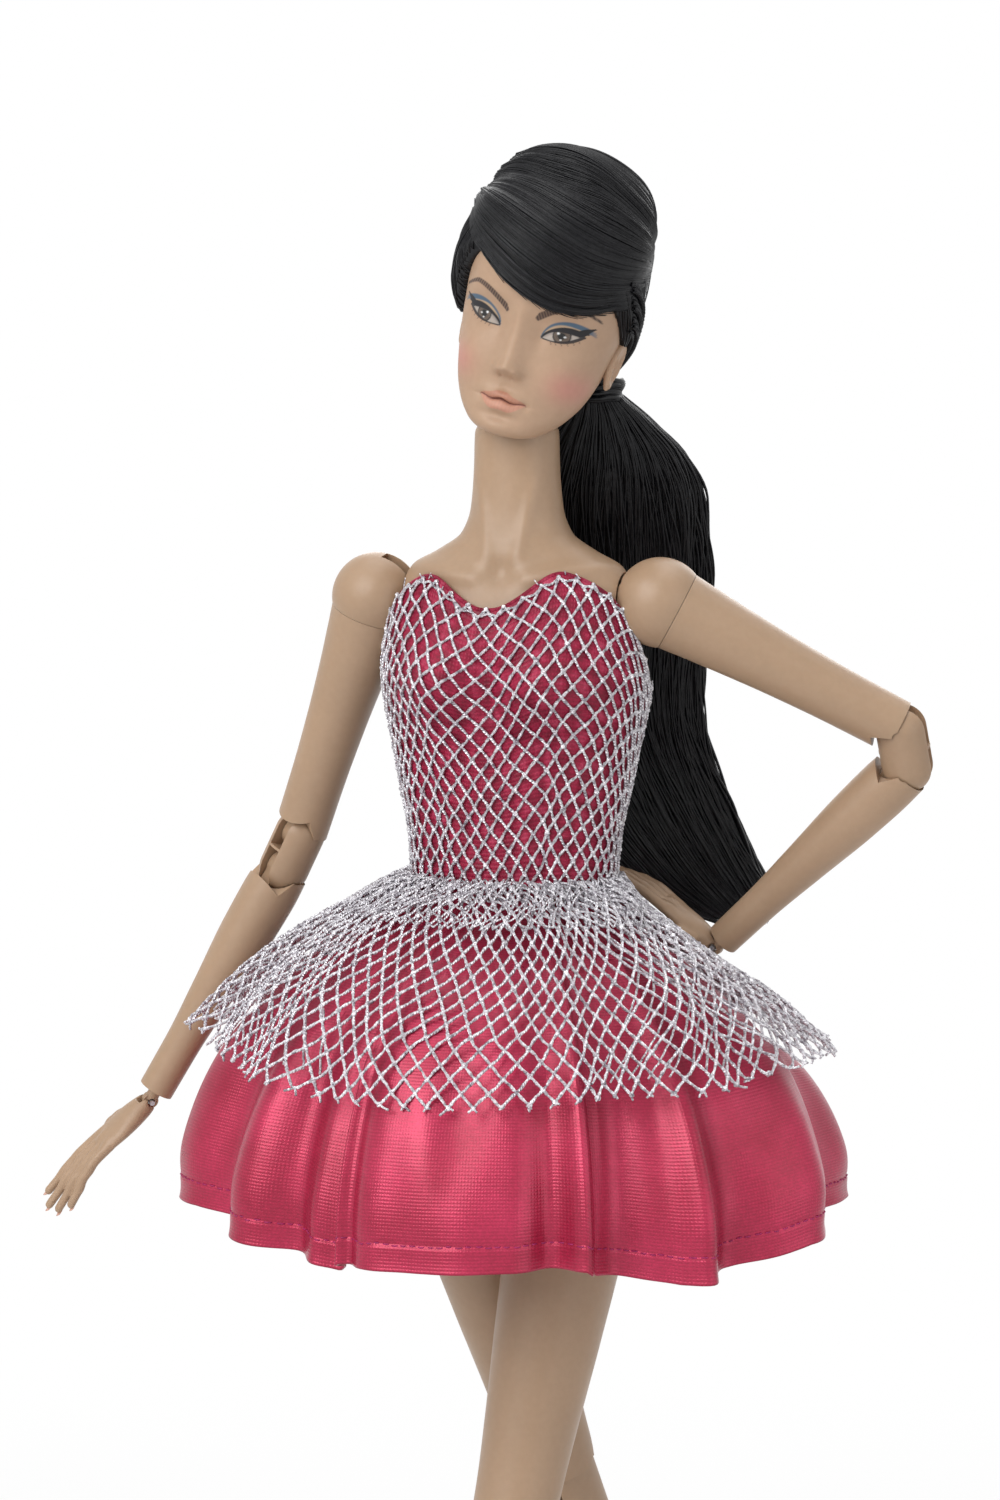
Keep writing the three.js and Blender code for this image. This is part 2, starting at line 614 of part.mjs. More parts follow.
// Neck: a knob nods in the neck, a socket rocks on the knob, and the head turns on the socket's post
function buildNeck(torso) {
  const nod = joint(torso, 'neck_nod', neckHinge, 'x', headPose.nodAngle);
  const rise = at(0, 0, neck.hingeDrop);
  const stem = block(neck.knobWidth, neck.knobWidth, neck.hingeDrop, at(0, 0, neck.hingeDrop / 2));
  const knob = cut(
    join(rod(neck.knobRadius, neck.knobWidth, 'x'), stem, rod(neck.knobRadius, neck.knobWidth, 'y', rise)),
    rod(neck.pinRadius + gap, far, 'x'),
    rod(neck.pinRadius + gap, far, 'y', rise),
  );
  piece(nod, 'neck_knob', knob, innerPlastic);
  piece(torso, 'neck_pin', rod(neck.pinRadius, neck.pinLength, 'x', neckHinge), pinSteel);

  const tilt = joint(nod, 'neck_tilt', rise, 'y', headPose.tiltAngle);
  const bodyLength = neck.socketTop + neck.socketBottom;
  const bodyMiddle = at(0, 0, (neck.socketTop - neck.socketBottom) / 2);
  const slotLength = neck.knobRadius + gap + neck.socketBottom + overrun;
  const post = rod(neck.postRadius, neck.postLength + overrun, 'z',
    at(0, 0, neck.socketTop + (neck.postLength - overrun) / 2));
  const pinReach = 2 * (neck.socketRadius - gap);
  const socket = cut(
    join(rod(neck.socketRadius, bodyLength, 'z', bodyMiddle, ballSides), post),
    block(far, neck.knobWidth + 2 * gap, slotLength, at(0, 0, neck.knobRadius + gap - slotLength / 2)),
    rod(neck.pinRadius + gap, pinReach, 'y'),
  );
  piece(tilt, 'head_socket', socket, innerPlastic);
  piece(tilt, 'head_pin', rod(neck.pinRadius, pinReach - 2 * gap, 'y'), pinSteel);
  return joint(tilt, 'head_turn', at(0, 0, 0), 'z', headPose.turnAngle);
}

// The tie grips the hair behind the left ear, and the ponytail hangs plumb from it
function buildPonytail(head) {
  const tie = new THREE.TorusGeometry(tieRadius, tieThickness, cordSides, tieSides);
  const tiePlace = at(tieAcrossShare * headHalfWidth, tieBackShare * headHalfDepth, tieRise);
  const rings = ponytailShares.map(([drop, left, back, width, thick]) => circle(ponytailSides, (angle) => at(
    left * ponytailLean + Math.cos(angle) * width * ponytailHalfWidth,
    back * ponytailBack + Math.sin(angle) * thick * ponytailHalfThickness,
    -drop * ponytailLength,
  )));
  doll.updateMatrixWorld(true);
  const plumb = new THREE.Group();
  plumb.quaternion.copy(head.getWorldQuaternion(new THREE.Quaternion()).invert());
  plumb.position.copy(tiePlace);
  head.add(plumb);
  piece(plumb, 'hair_tie', tie, blackHair);
  piece(plumb, 'ponytail', loft(rings), blackHair).position.set(0, 0, -tieThickness - gap);
}

// Shoulder ball: slotted for the disc's neck all the way from arm down to arm lifted
function shoulderBall(side) {
  const slots = shoulderSlotSteps.map((share) => {
    const reach = shoulder.ballRadius + overrun;
    const height = 2 * (shoulder.tongueRadius * tongueNeckShare + gap);
    const slot = block(reach, shoulder.tongueWidth + 2 * gap, height, at(-side * reach / 2, 0, 0));
    return slot.rotateY(side * radians(share * shoulder.liftMostAngle));
  });
  const post = rod(shoulder.postRadius, shoulder.postLength + overrun, 'z',
    at(0, 0, -shoulder.seamDrop - (shoulder.postLength - overrun) / 2));
  const cap = cut(ball(shoulder.ballRadius), block(far, far, far, at(0, 0, -shoulder.seamDrop - far / 2)));
  return cut(
    join(cap, post),
    ...slots,
    rod(shoulder.tongueRadius + gap, shoulder.tongueWidth + 2 * gap, 'y', at(0, 0, 0), ballSides),
    rod(shoulder.pinRadius + gap, 2 * (shoulder.ballRadius - shoulder.pinWall), 'y'),
  );
}

function shoulderDisc(side) {
  const shaftStart = shoulder.ballRadius + gap;
  const neckLength = shaftStart + gap;
  const shaftLength = shoulder.shaftEnd - shaftStart;
  const shaftMiddle = -side * (shaftStart + shaftLength / 2);
  const height = 2 * shoulder.tongueRadius * tongueNeckShare;
  return cut(
    join(
      rod(shoulder.tongueRadius, shoulder.tongueWidth, 'y', at(0, 0, 0), ballSides),
      block(neckLength, shoulder.tongueWidth, height, at(-side * neckLength / 2, 0, 0)),
      rod(shoulder.shaftRadius, shaftLength, 'x', at(shaftMiddle, 0, 0), ballSides),
      rod(shoulder.flangeRadius, shoulder.flangeWidth, 'x', at(-side * shoulder.shaftEnd, 0, 0), ballSides),
    ),
    rod(shoulder.pinRadius + gap, far, 'y'),
  );
}

function finger(length, radius, curl) {
  const bend = radians(curl);
  const rows = fingerShares.map(([along, thick]) => {
    const turned = bend * along;
    const middle = at(
      0,
      (-length * (1 - Math.cos(turned))) / Math.max(bend, 0.01),
      (-length * Math.sin(turned)) / Math.max(bend, 0.01),
    );
    return circle(fingerSides, (angle) => {
      const spoke = at(Math.cos(angle) * radius * thick, Math.sin(angle) * radius * thick, 0);
      return middle.clone().add(spoke.applyAxisAngle(axes.x, -turned));
    });
  });
  return loft(rows);
}

function handBody(side) {
  const palm = loft(palmShares.map(([along, width, depth]) => circle(footSides, (angle) => at(
    Math.cos(angle) * width * hand.palmHalfWidth,
    Math.sin(angle) * depth * hand.palmHalfDepth,
    -along * hand.palmLength,
  ))));
  const fingers = fingerPlaceShares.map(([across, length, fan, curl]) => finger(
    length * hand.fingerLength, hand.fingerRadius, curl,
  ).rotateY(-side * radians(fan)).translate(side * across * hand.palmHalfWidth, 0, -hand.palmLength * 0.94));
  const thumb = finger(hand.thumbLength, hand.thumbRadius, hand.thumbCurlAngle)
    .rotateY(side * radians(hand.thumbSpreadAngle))
    .translate(-side * hand.palmHalfWidth * 0.62, -hand.palmHalfDepth * 0.3, -hand.palmLength * 0.3);
  const slotLength = wrist.tongueRadius + gap + overrun;
  return cut(
    join(palm, ...fingers, thumb),
    block(wrist.tongueWidth + 2 * gap, far, slotLength, at(0, 0, overrun - slotLength / 2)),
    rod(wrist.pinRadius + gap, wrist.pinLength + 2 * gap, 'x'),
  );
}

function buildArm(torso, name, side, pose) {
  const swing = joint(torso, `${name}_shoulder_swing`, shoulderPlace(side), 'x', pose.swingAngle);
  piece(swing, `${name}_shoulder_disc`, shoulderDisc(side), innerPlastic);
  const lift = joint(swing, `${name}_shoulder_lift`, at(0, 0, 0), 'y', -side * pose.liftAngle);
  piece(lift, `${name}_shoulder_ball`, shoulderBall(side), skinPlastic);
  const pinLength = 2 * (shoulder.ballRadius - shoulder.pinWall - gap);
  piece(lift, `${name}_shoulder_pin`, rod(shoulder.pinRadius, pinLength, 'y'), pinSteel);

  const twist = joint(lift, `${name}_arm_twist`, at(0, 0, 0), 'z', -side * pose.twistAngle);
  const seam = -shoulder.seamDrop - gap;
  const bore = 2 * (shoulder.postLength + gap);
  const drilled = cut(
    limbLoft(upperArm, upperArmShares).translate(0, 0, seam),
    rod(shoulder.postRadius + gap, bore, 'z', at(0, 0, seam)),
  );
  const elbowDrop = upperArm.length - seam;
  piece(twist, `${name}_upper_arm`, knuckleEnd(drilled, elbow, -elbowDrop, 1), skinPlastic);

  const elbowPlace = at(0, 0, -elbowDrop);
  const upper = joint(twist, `${name}_elbow_upper`, elbowPlace, 'x', bendSign(elbow) * pose.bendUpperAngle);
  piece(upper, `${name}_elbow_knuckle`, knuckleBody(elbow), jointPlastic);
  piece(upper, `${name}_elbow_pin_upper`, knucklePin(elbow), pinSteel);
  const low = at(0, 0, -elbow.spacing);
  piece(upper, `${name}_elbow_pin_lower`, knucklePin(elbow), pinSteel).position.copy(low);

  const lower = joint(upper, `${name}_elbow_lower`, low, 'x', bendSign(elbow) * pose.bendLowerAngle);
  const cuffBore = rod(wrist.postRadius + gap, 2 * (wrist.postLength + gap), 'z', at(0, 0, -forearm.length));
  const arm = cut(limbLoft(forearm, forearmShares), cuffBore);
  piece(lower, `${name}_forearm`, knuckleEnd(arm, elbow, 0, -1), skinPlastic);

  const wristPlace = at(0, 0, -forearm.length - wrist.drop);
  const roll = joint(lower, `${name}_wrist_roll`, wristPlace, 'z', -side * pose.rollAngle);
  const stemLength = wrist.postLength + wrist.drop;
  const peg = cut(
    join(
      rod(wrist.postRadius, stemLength, 'z', at(0, 0, stemLength / 2)),
      rod(wrist.tongueRadius, wrist.tongueWidth, 'x'),
    ),
    rod(wrist.pinRadius + gap / 2, far, 'x'),
  );
  piece(roll, `${name}_wrist_peg`, peg, jointPlastic);
  const flex = joint(roll, `${name}_wrist_flex`, at(0, 0, 0), 'x', pose.flexAngle);
  piece(flex, `${name}_wrist_pin`, rod(wrist.pinRadius, wrist.pinLength, 'x'), pinSteel);
  return piece(flex, `${name}_hand`, handBody(side), skinPlastic);
}

// Thigh: a slotted ball that swings and spreads on the hip block
function thighBody(side) {
  const reach = hip.ballRadius + overrun;
  const [least, most] = [hip.spreadLeastAngle, hip.spreadMostAngle];
  const steps = [least, (least + most) / 2, most];
  const width = 2 * (hip.barrelRadius + gap);
  const slots = steps.map((degrees) => block(reach, width, width, at(-side * reach / 2, 0, 0))
    .rotateY(side * radians(degrees)));
  return cut(
    join(ball(hip.ballRadius), limbLoft(thigh, thighShares)),
    ball(hip.barrelRadius + gap),
    ...slots,
    rod(hip.pinRadius + gap, 2 * (hip.ballRadius - hip.pinWall), 'y'),
  );
}

function hipBlock(side) {
  const length = hip.ballRadius;
  const bore = length - (hipHalfSpacing - hip.rodReach) + gap;
  const barrelMiddle = at(-side * length / 2, 0, 0);
  return cut(
    join(ball(hip.barrelRadius), rod(hip.barrelRadius, length, 'x', barrelMiddle, ballSides)),
    rod(hip.rodRadius + gap, bore + overrun, 'x', at(-side * (length - (bore - overrun) / 2), 0, 0)),
    rod(hip.pinRadius + gap, far, 'y'),
  );
}

function shinBody() {
  const ankle = -shin.length;
  const arch = loft(footShares.map(([drop, reach, width, depth]) => circle(footSides + 2, (angle) => at(
    Math.cos(angle) * width * foot.halfWidth,
    -reach * foot.reach + Math.sin(angle) * depth * foot.halfWidth,
    ankle - drop * foot.drop,
  ))));
  const toes = ball(foot.halfWidth, at(0, 0, 0), footSides).scale(1, foot.toeLength / foot.halfWidth, 0.52);
  toes.translate(0, -foot.reach - foot.toeLength * 0.3, ankle - foot.drop + foot.halfWidth * 0.5);
  const heel = ball(foot.halfWidth * 0.8, at(0, foot.halfWidth * 0.2, ankle - foot.drop * 0.2), footSides);
  const ground = block(far, 2 * far, far, at(0, 0, ankle - foot.drop + foot.padDepth - far / 2));
  return cut(join(limbLoft(shin, shinShares), arch, toes, heel), ground);
}

function buildLeg(torso, name, side, pose) {
  const swing = joint(torso, `${name}_hip_swing`, hipPlace(side), 'x', pose.swingAngle);
  piece(swing, `${name}_hip_block`, hipBlock(side), innerPlastic);
  const spread = joint(swing, `${name}_hip_spread`, at(0, 0, 0), 'y', -side * pose.spreadAngle);
  const pinLength = 2 * (hip.ballRadius - hip.pinWall - gap);
  piece(spread, `${name}_hip_pin`, rod(hip.pinRadius, pinLength, 'y'), pinSteel);
  piece(spread, `${name}_thigh`, knuckleEnd(thighBody(side), knee, -thigh.length, 1), skinPlastic);

  const kneePlace = at(0, 0, -thigh.length);
  const upper = joint(spread, `${name}_knee_upper`, kneePlace, 'x', bendSign(knee) * pose.bendUpperAngle);
  piece(upper, `${name}_knee_knuckle`, knuckleBody(knee), jointPlastic);
  piece(upper, `${name}_knee_pin_upper`, knucklePin(knee), pinSteel);
  const low = at(0, 0, -knee.spacing);
  piece(upper, `${name}_knee_pin_lower`, knucklePin(knee), pinSteel).position.copy(low);

  const lower = joint(upper, `${name}_knee_lower`, low, 'x', bendSign(knee) * pose.bendLowerAngle);
  piece(lower, `${name}_shin`, knuckleEnd(shinBody(), knee, 0, -1), skinPlastic);
}

// The dress's top edge, as a rise above the waist: two peaks, a dip between them and a low back
function topEdge(angle) {
  const across = Math.cos(angle) * chestHalfWidth;
  const frontness = Math.max(-Math.sin(angle), 0);
  const dip = Math.sin(angle) < 0 ? dress.topDip * bump(across, bustHalfSpacing * 0.72) : 0;
  return dress.topRiseShare * torsoHeight - dip - dress.topBackDrop * (1 - frontness);
}

function bodicePoint(u, v, out) {
  const angle = 2 * Math.PI * u;
  return torsoPoint(angle, mix(dress.bottomRise, topEdge(angle), v), out);
}

// A skirt or peplum surface: u goes round from the doll's left side, v from the waist to the hem, and
// press is how deep the resting hand pushes it down
function flaredPoint(flare, rows, press, u, v, out) {
  const angle = 2 * Math.PI * u;
  const [, drop, spread] = rowAt(rows, v);
  const fold = Math.cos(angle * flare.folds + flare.foldTurn) + 0.4 * Math.cos(angle * (flare.folds - 3));
  const wave = flare.foldDepth * v * v * fold;
  const steep = rowAt(rows, Math.min(v + 0.1, 1))[1] - rowAt(rows, Math.max(v - 0.1, 0))[1];
  const flat = rowAt(rows, Math.min(v + 0.1, 1))[2] - rowAt(rows, Math.max(v - 0.1, 0))[2];
  const lean = Math.atan2(steep * flare.drop, flat * (flare.hemHalfWidth - flare.waistHalfWidth));
  const across = mix(flare.waistHalfWidth, flare.hemHalfWidth, spread) + wave + out * Math.sin(lean);
  const through = mix(flare.waistHalfDepth, flare.hemHalfDepth, spread) + wave + out * Math.sin(lean);
  const pressed = press * dentAt(rows, angle, v);
  return at(
    Math.cos(angle) * across,
    flare.back + Math.sin(angle) * through,
    waistHeight + flare.top - drop * flare.drop - pressed + out * Math.cos(lean),
  );
}

// The share of the dent under the resting hand at a place on the cloth
function dentAt(rows, angle, v) {
  const turned = angle - radians(restingHand.turnAngle);
  const away = Math.atan2(Math.sin(turned), Math.cos(turned));
  return rowAt(rows, v)[3] * bump(away, radians(restingHand.spreadAngle));
}

// The press that lets every point of what rests on the cloth clear it by the given distance
function pressUnder(points, flare, rows, clearance) {
  const needs = points.map((point) => {
    const nearest = restingPlaces.map((v) => {
      const flat = flaredPoint(flare, rows, 0, Math.atan2(point.y, point.x) / (2 * Math.PI), v, 0);
      return { v, height: flat.z, away: Math.abs(Math.hypot(flat.x, flat.y) - Math.hypot(point.x, point.y)) };
    }).reduce((a, b) => (b.away < a.away ? b : a));
    const dent = dentAt(rows, Math.atan2(point.y, point.x), nearest.v);
    return dent > restingLeastShare ? (nearest.height + clearance - point.z) / dent : 0;
  });
  return Math.max(0, ...needs);
}

// A cloth shell between two offsets of a surface, over the given places between its edges
function shell(point, places, inner, outer, sides) {
  const outside = places.map((v) => circle(sides, (angle) => point(angle / (2 * Math.PI), v, outer)));
  const inside = places.map((v) => circle(sides, (angle) => point(angle / (2 * Math.PI), v, inner)));
  return ringLoft([...outside, ...inside.reverse()]);
}

// A diamond net round a surface: each strand is raised to a ridge on both sides between its two gaps
function diamondNet(point, size, middle) {
  const points = [];
  const triangles = [];
  const add = (p) => points.push(p) - 1;
  const place = (i, j, out) => point((i + (j % 2) / 2) / size.columns, j / size.rows, middle + out);
  const knots = [];
  for (let j = 0; j <= size.rows; j += 1) {
    knots.push(Array.from({ length: size.columns }, (_, i) => ({
      middle: place(i, j, 0),
      over: add(place(i, j, dress.netHalfStrand)),
      under: add(place(i, j, -dress.netHalfStrand)),
    })));
  }
  const knot = (i, j) => knots[j][(i + size.columns) % size.columns];
  const strand = (a, b, nearA, nearB) => {
    triangles.push(a.over, b.over, nearB, a.over, nearB, nearA);
    triangles.push(a.under, nearB, b.under, a.under, nearA, nearB);
  };
  for (let j = 1; j < size.rows; j += 1) {
    for (let i = 0; i < size.columns; i += 1) {
      const shift = j % 2;
      const corners = [knot(i, j), knot(i + shift, j - 1), knot(i + 1, j), knot(i + shift, j + 1)];
      if (!shift) {
        corners[1] = knot(i, j - 1);
        corners[3] = knot(i, j + 1);
      }
      const centre = corners.reduce((sum, c) => sum.add(c.middle), at(0, 0, 0)).divideScalar(4);
      const near = corners.map((c) => {
        const towards = centre.clone().sub(c.middle);
        return add(c.middle.clone().addScaledVector(towards.normalize(), dress.netStrand));
      });
      corners.forEach((c, n) => strand(c, corners[(n + 1) % 4], near[n], near[(n + 1) % 4]));
    }
  }
  for (const [edge, inner] of [[0, 1], [size.rows, size.rows - 1]]) {
    const outwards = knot(0, edge).middle.clone().sub(knot(0, inner).middle).setX(0).setY(0).normalize();
    const border = (k) => add(k.middle.clone().addScaledVector(outwards, dress.netStrand));
    const outer = Array.from({ length: size.columns }, (_, i) => border(knot(i, edge)));
    const between = Array.from({ length: size.columns }, (_, i) => border(knot(i, inner)));
    const shift = edge % 2;
    for (let i = 0; i < size.columns; i += 1) {
      const next = (i + shift) % size.columns;
      const before = (i + shift - 1 + size.columns) % size.columns;
      const path = [
        [knot(before, inner), knot(i, edge), between[before], outer[i]],
        [knot(i, edge), knot(next, inner), outer[i], between[next]],
      ];
      for (const [a, b, nearA, nearB] of path) {
        if (edge === 0) strand(b, a, nearB, nearA);
        else strand(a, b, nearA, nearB);
      }
    }
  }
  return closedMesh(points, triangles);
}

function buildDress(torso, leftHand) {
  const lined = dress.fit + dress.lining;
  piece(torso, 'bodice', shell(bodicePoint, bodicePlaceShares, dress.fit, lined, bodySides), pinkCloth);
  const netMiddle = lined + dress.netInset + dress.netHalfStrand;
  piece(torso, 'bodice_net', diamondNet(bodicePoint, bodiceNet, netMiddle), silverNet);

  // The hand rests on the net, and the net on the skirt
  doll.updateMatrixWorld(true);
  const toTorso = torso.matrixWorld.clone().invert().multiply(leftHand.matrixWorld);
  const resting = Array.from({ length: leftHand.geometry.attributes.position.count }, (_, n) => (
    at(0, 0, 0).fromBufferAttribute(leftHand.geometry.attributes.position, n).applyMatrix4(toTorso)
  ));
  const half = skirt.thickness / 2;
  const netRoom = dress.netHalfStrand + restingHand.clearance;
  const clothRoom = netRoom + dress.netHalfStrand + half + restingHand.clearance;
  const netPress = pressUnder(resting, peplum, peplumShares, netRoom);
  const clothPress = pressUnder(resting, skirt, skirtShares, clothRoom);
  const skirtPoint = (u, v, out) => flaredPoint(skirt, skirtShares, clothPress, u, v, out);
  const peplumPoint = (u, v, out) => flaredPoint(peplum, peplumShares, netPress, u, v, out);
  piece(torso, 'skirt', shell(skirtPoint, skirtPlaceShares, -half, half, skirt.facets), pinkLame);
  piece(torso, 'peplum', diamondNet(peplumPoint, peplum, 0), silverNet);
  const facing = netMiddle + dress.netHalfStrand + gap;
  const strip = (v, side, out) => {
    const angle = Math.PI / 2 - (side * dress.closureWidth) / 2 / chestHalfDepth / 1.6;
    return torsoPoint(angle, mix(dress.bottomRise, topEdge(Math.PI / 2), v), facing + out);
  };
  const thick = dress.closureThickness;
  const rings = closurePlaceShares.map((v) => [
    strip(v, 1, 0), strip(v, 1, thick), strip(v, -1, thick), strip(v, -1, 0),
  ]);
  piece(torso, 'back_closure', loft(rings), hookTape);
}

const torso = joint(doll, 'torso', at(0, 0, 0), 'z', torsoTurnAngle);
buildTorso(torso);
const head = buildNeck(torso);
buildHead(head);
buildPonytail(head);
const leftHand = buildArm(torso, 'left', 1, leftArmPose);
buildArm(torso, 'right', -1, rightArmPose);
buildLeg(torso, 'left', 1, leftLegPose);
buildLeg(torso, 'right', -1, rightLegPose);
buildDress(torso, leftHand);

// The origin is at the middle of the waist, where a stand's grip holds the doll
doll.position.z = -waistHeight;

export default doll;
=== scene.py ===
# The looks of a jointed fashion doll in a strapless pink dress with silver net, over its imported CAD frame.
import json
import math
import bpy
import numpy as np
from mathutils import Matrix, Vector
from mathutils.bvhtree import BVHTree


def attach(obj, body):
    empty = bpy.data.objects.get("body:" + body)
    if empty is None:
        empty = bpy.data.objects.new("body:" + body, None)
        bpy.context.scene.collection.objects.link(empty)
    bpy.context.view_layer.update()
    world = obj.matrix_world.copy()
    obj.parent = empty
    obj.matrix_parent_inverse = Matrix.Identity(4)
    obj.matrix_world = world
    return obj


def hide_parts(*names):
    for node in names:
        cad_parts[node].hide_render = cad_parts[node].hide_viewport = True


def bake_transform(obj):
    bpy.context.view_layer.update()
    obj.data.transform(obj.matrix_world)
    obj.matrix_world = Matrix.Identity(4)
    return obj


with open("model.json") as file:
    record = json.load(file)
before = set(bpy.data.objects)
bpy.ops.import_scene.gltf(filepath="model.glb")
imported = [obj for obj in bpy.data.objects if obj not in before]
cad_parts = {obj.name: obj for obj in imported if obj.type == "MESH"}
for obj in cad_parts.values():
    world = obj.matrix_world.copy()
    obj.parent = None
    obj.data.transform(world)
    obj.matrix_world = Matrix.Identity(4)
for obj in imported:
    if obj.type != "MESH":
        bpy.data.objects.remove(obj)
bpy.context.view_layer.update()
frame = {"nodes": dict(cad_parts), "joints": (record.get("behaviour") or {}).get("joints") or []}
MM = 0.001


# Frames, in millimetres, with the same names and turns as the CAD source
def move(x, y, z):
    m = np.eye(4)
    m[:3, 3] = (x, y, z)
    return m


def turn(axis, degrees):
    c, s = math.cos(math.radians(degrees)), math.sin(math.radians(degrees))
    m = np.eye(4)
    i, j = {"x": (1, 2), "y": (2, 0), "z": (0, 1)}[axis]
    m[i, i], m[i, j], m[j, i], m[j, j] = c, -s, s, c
    return m


WAIST, TORSO_H, CHEST_W, CHEST_D = 196, 75, 21, 12
FORWARD = 1.5
SHOULDER_RISE, SHOULDER_OUT = 0.611 * TORSO_H, 24.2
HIP_DROP, HIP_OUT = 0.507 * TORSO_H, 12.3
NECK_PIVOT = TORSO_H + 1.7
TORSO = move(0, 0, -WAIST) @ turn("z", -18)
KNOB = TORSO @ move(0, FORWARD, WAIST + NECK_PIVOT - 7) @ turn("x", 3)
SOCKET = KNOB @ move(0, 0, 7) @ turn("y", 16)
HEAD = SOCKET @ turn("z", -5)
ARMS = {
    "left": (1, dict(swing=27, lift=58.6, twist=76.8, upper=53, lower=53, roll=-161.5, flex=83)),
    "right": (-1, dict(swing=8.5, lift=21.2, twist=-34, upper=9, lower=7, roll=160.6, flex=20)),
}
LEGS = {
    "left": (1, dict(swing=-13, spread=-7, upper=5, lower=5)),
    "right": (-1, dict(swing=15, spread=-12, upper=4, lower=5)),
}
UPPER_ARM, FOREARM, ELBOW_GAP, THIGH, SHIN, KNEE_GAP = 40.5, 44, 6.4, 68, 62, 9
F = {"torso": TORSO, "neck_knob": KNOB, "head_socket": SOCKET, "head": HEAD}
for name, (side, p) in ARMS.items():
    ball = TORSO @ move(side * SHOULDER_OUT, FORWARD, WAIST + SHOULDER_RISE) @ turn("x", p["swing"])
    F[f"{name}_shoulder_disc"] = ball
    ball = ball @ turn("y", -side * p["lift"])
    F[f"{name}_shoulder_ball"] = ball
    arm = ball @ turn("z", -side * p["twist"])
    F[f"{name}_upper_arm"] = arm
    knuckle = arm @ move(0, 0, -UPPER_ARM - 3.3) @ turn("x", -p["upper"])
    F[f"{name}_elbow_knuckle"] = knuckle
    fore = knuckle @ move(0, 0, -ELBOW_GAP) @ turn("x", -p["lower"])
    F[f"{name}_forearm"] = fore
    peg = fore @ move(0, 0, -FOREARM - 2.1) @ turn("z", -side * p["roll"])
    F[f"{name}_wrist_peg"] = peg
    F[f"{name}_hand"] = peg @ turn("x", p["flex"])
for name, (side, p) in LEGS.items():
    block = TORSO @ move(side * HIP_OUT, FORWARD, WAIST - HIP_DROP) @ turn("x", p["swing"])
    F[f"{name}_hip_block"] = block
    leg = block @ turn("y", -side * p["spread"])
    F[f"{name}_thigh"] = leg
    knuckle = leg @ move(0, 0, -THIGH) @ turn("x", p["upper"])
    F[f"{name}_knee_knuckle"] = knuckle
    F[f"{name}_shin"] = knuckle @ move(0, 0, -KNEE_GAP) @ turn("x", p["lower"])
for j in frame["joints"]:
    off = np.linalg.norm(F[j["child"]][:3, 3] - np.array(j["pos_m"]) * 1000)
    assert off < 0.05, (j["name"], off)


# Mesh helpers
def make(name, points, quads=(), tris=(), matrix=None, uv=None, smooth=True):
    """A mesh object from points in millimetres, with its faces as given."""
    points = np.asarray(points, float).reshape(-1, 3)
    if matrix is not None:
        points = points @ matrix[:3, :3].T + matrix[:3, 3]
    q = np.asarray(quads, np.int32).reshape(-1, 4)
    t = np.asarray(tris, np.int32).reshape(-1, 3)
    sizes = np.r_[np.full(len(q), 4, np.int32), np.full(len(t), 3, np.int32)]
    loops = np.r_[q.ravel(), t.ravel()].astype(np.int32)
    me = bpy.data.meshes.new(name)
    me.vertices.add(len(points))
    me.vertices.foreach_set("co", (points * MM).astype(np.float32).ravel())
    me.loops.add(len(loops))
    me.loops.foreach_set("vertex_index", loops)
    me.polygons.add(len(sizes))
    me.polygons.foreach_set("loop_start", np.r_[0, np.cumsum(sizes)[:-1]].astype(np.int32))
    me.update(calc_edges=True)
    me.polygons.foreach_set("use_smooth", np.full(len(sizes), smooth))
    if uv is not None:
        layer = me.uv_layers.new(name="cloth")
        layer.data.foreach_set("uv", np.asarray(uv, np.float32)[loops].ravel())
    ob = bpy.data.objects.new(name, me)
    bpy.context.scene.collection.objects.link(ob)
    return ob


def volume(points, quads, tris):
    total = 0.0
    for f in (quads[:, [0, 1, 2]], quads[:, [0, 2, 3]], tris) if len(quads) else (tris,):
        if len(f):
            a, b, c = points[f[:, 0]], points[f[:, 1]], points[f[:, 2]]
            total += np.einsum("ij,ij->i", a, np.cross(b, c)).sum()
    return total


def loft(rings):
    """Points, quads and triangles of a skin over rings (R, S, 3), with fans on its ends."""
    rings = np.asarray(rings, float)
    r, s = rings.shape[:2]
    i = np.arange(r - 1)[:, None] * s
    k = np.arange(s)
    n = (k + 1) % s
    quads = np.stack([i + k, i + n, i + s + n, i + s + k], -1).reshape(-1, 4)
    points = rings.reshape(-1, 3)
    low = (r - 1) * s
    top = np.stack([np.full(s, len(points)), n, k], -1)
    bottom = np.stack([np.full(s, len(points) + 1), low + k, low + n], -1)
    points = np.vstack([points, rings[0].mean(0), rings[-1].mean(0)])
    tris = np.vstack([top, bottom])
    if volume(points, quads, tris) < 0:
        quads, tris = quads[:, ::-1], tris[:, ::-1]
    return points, quads, tris


def solid(name, rings, matrix=None):
    p, q, t = loft(rings)
    return make(name, p, q, t, matrix)


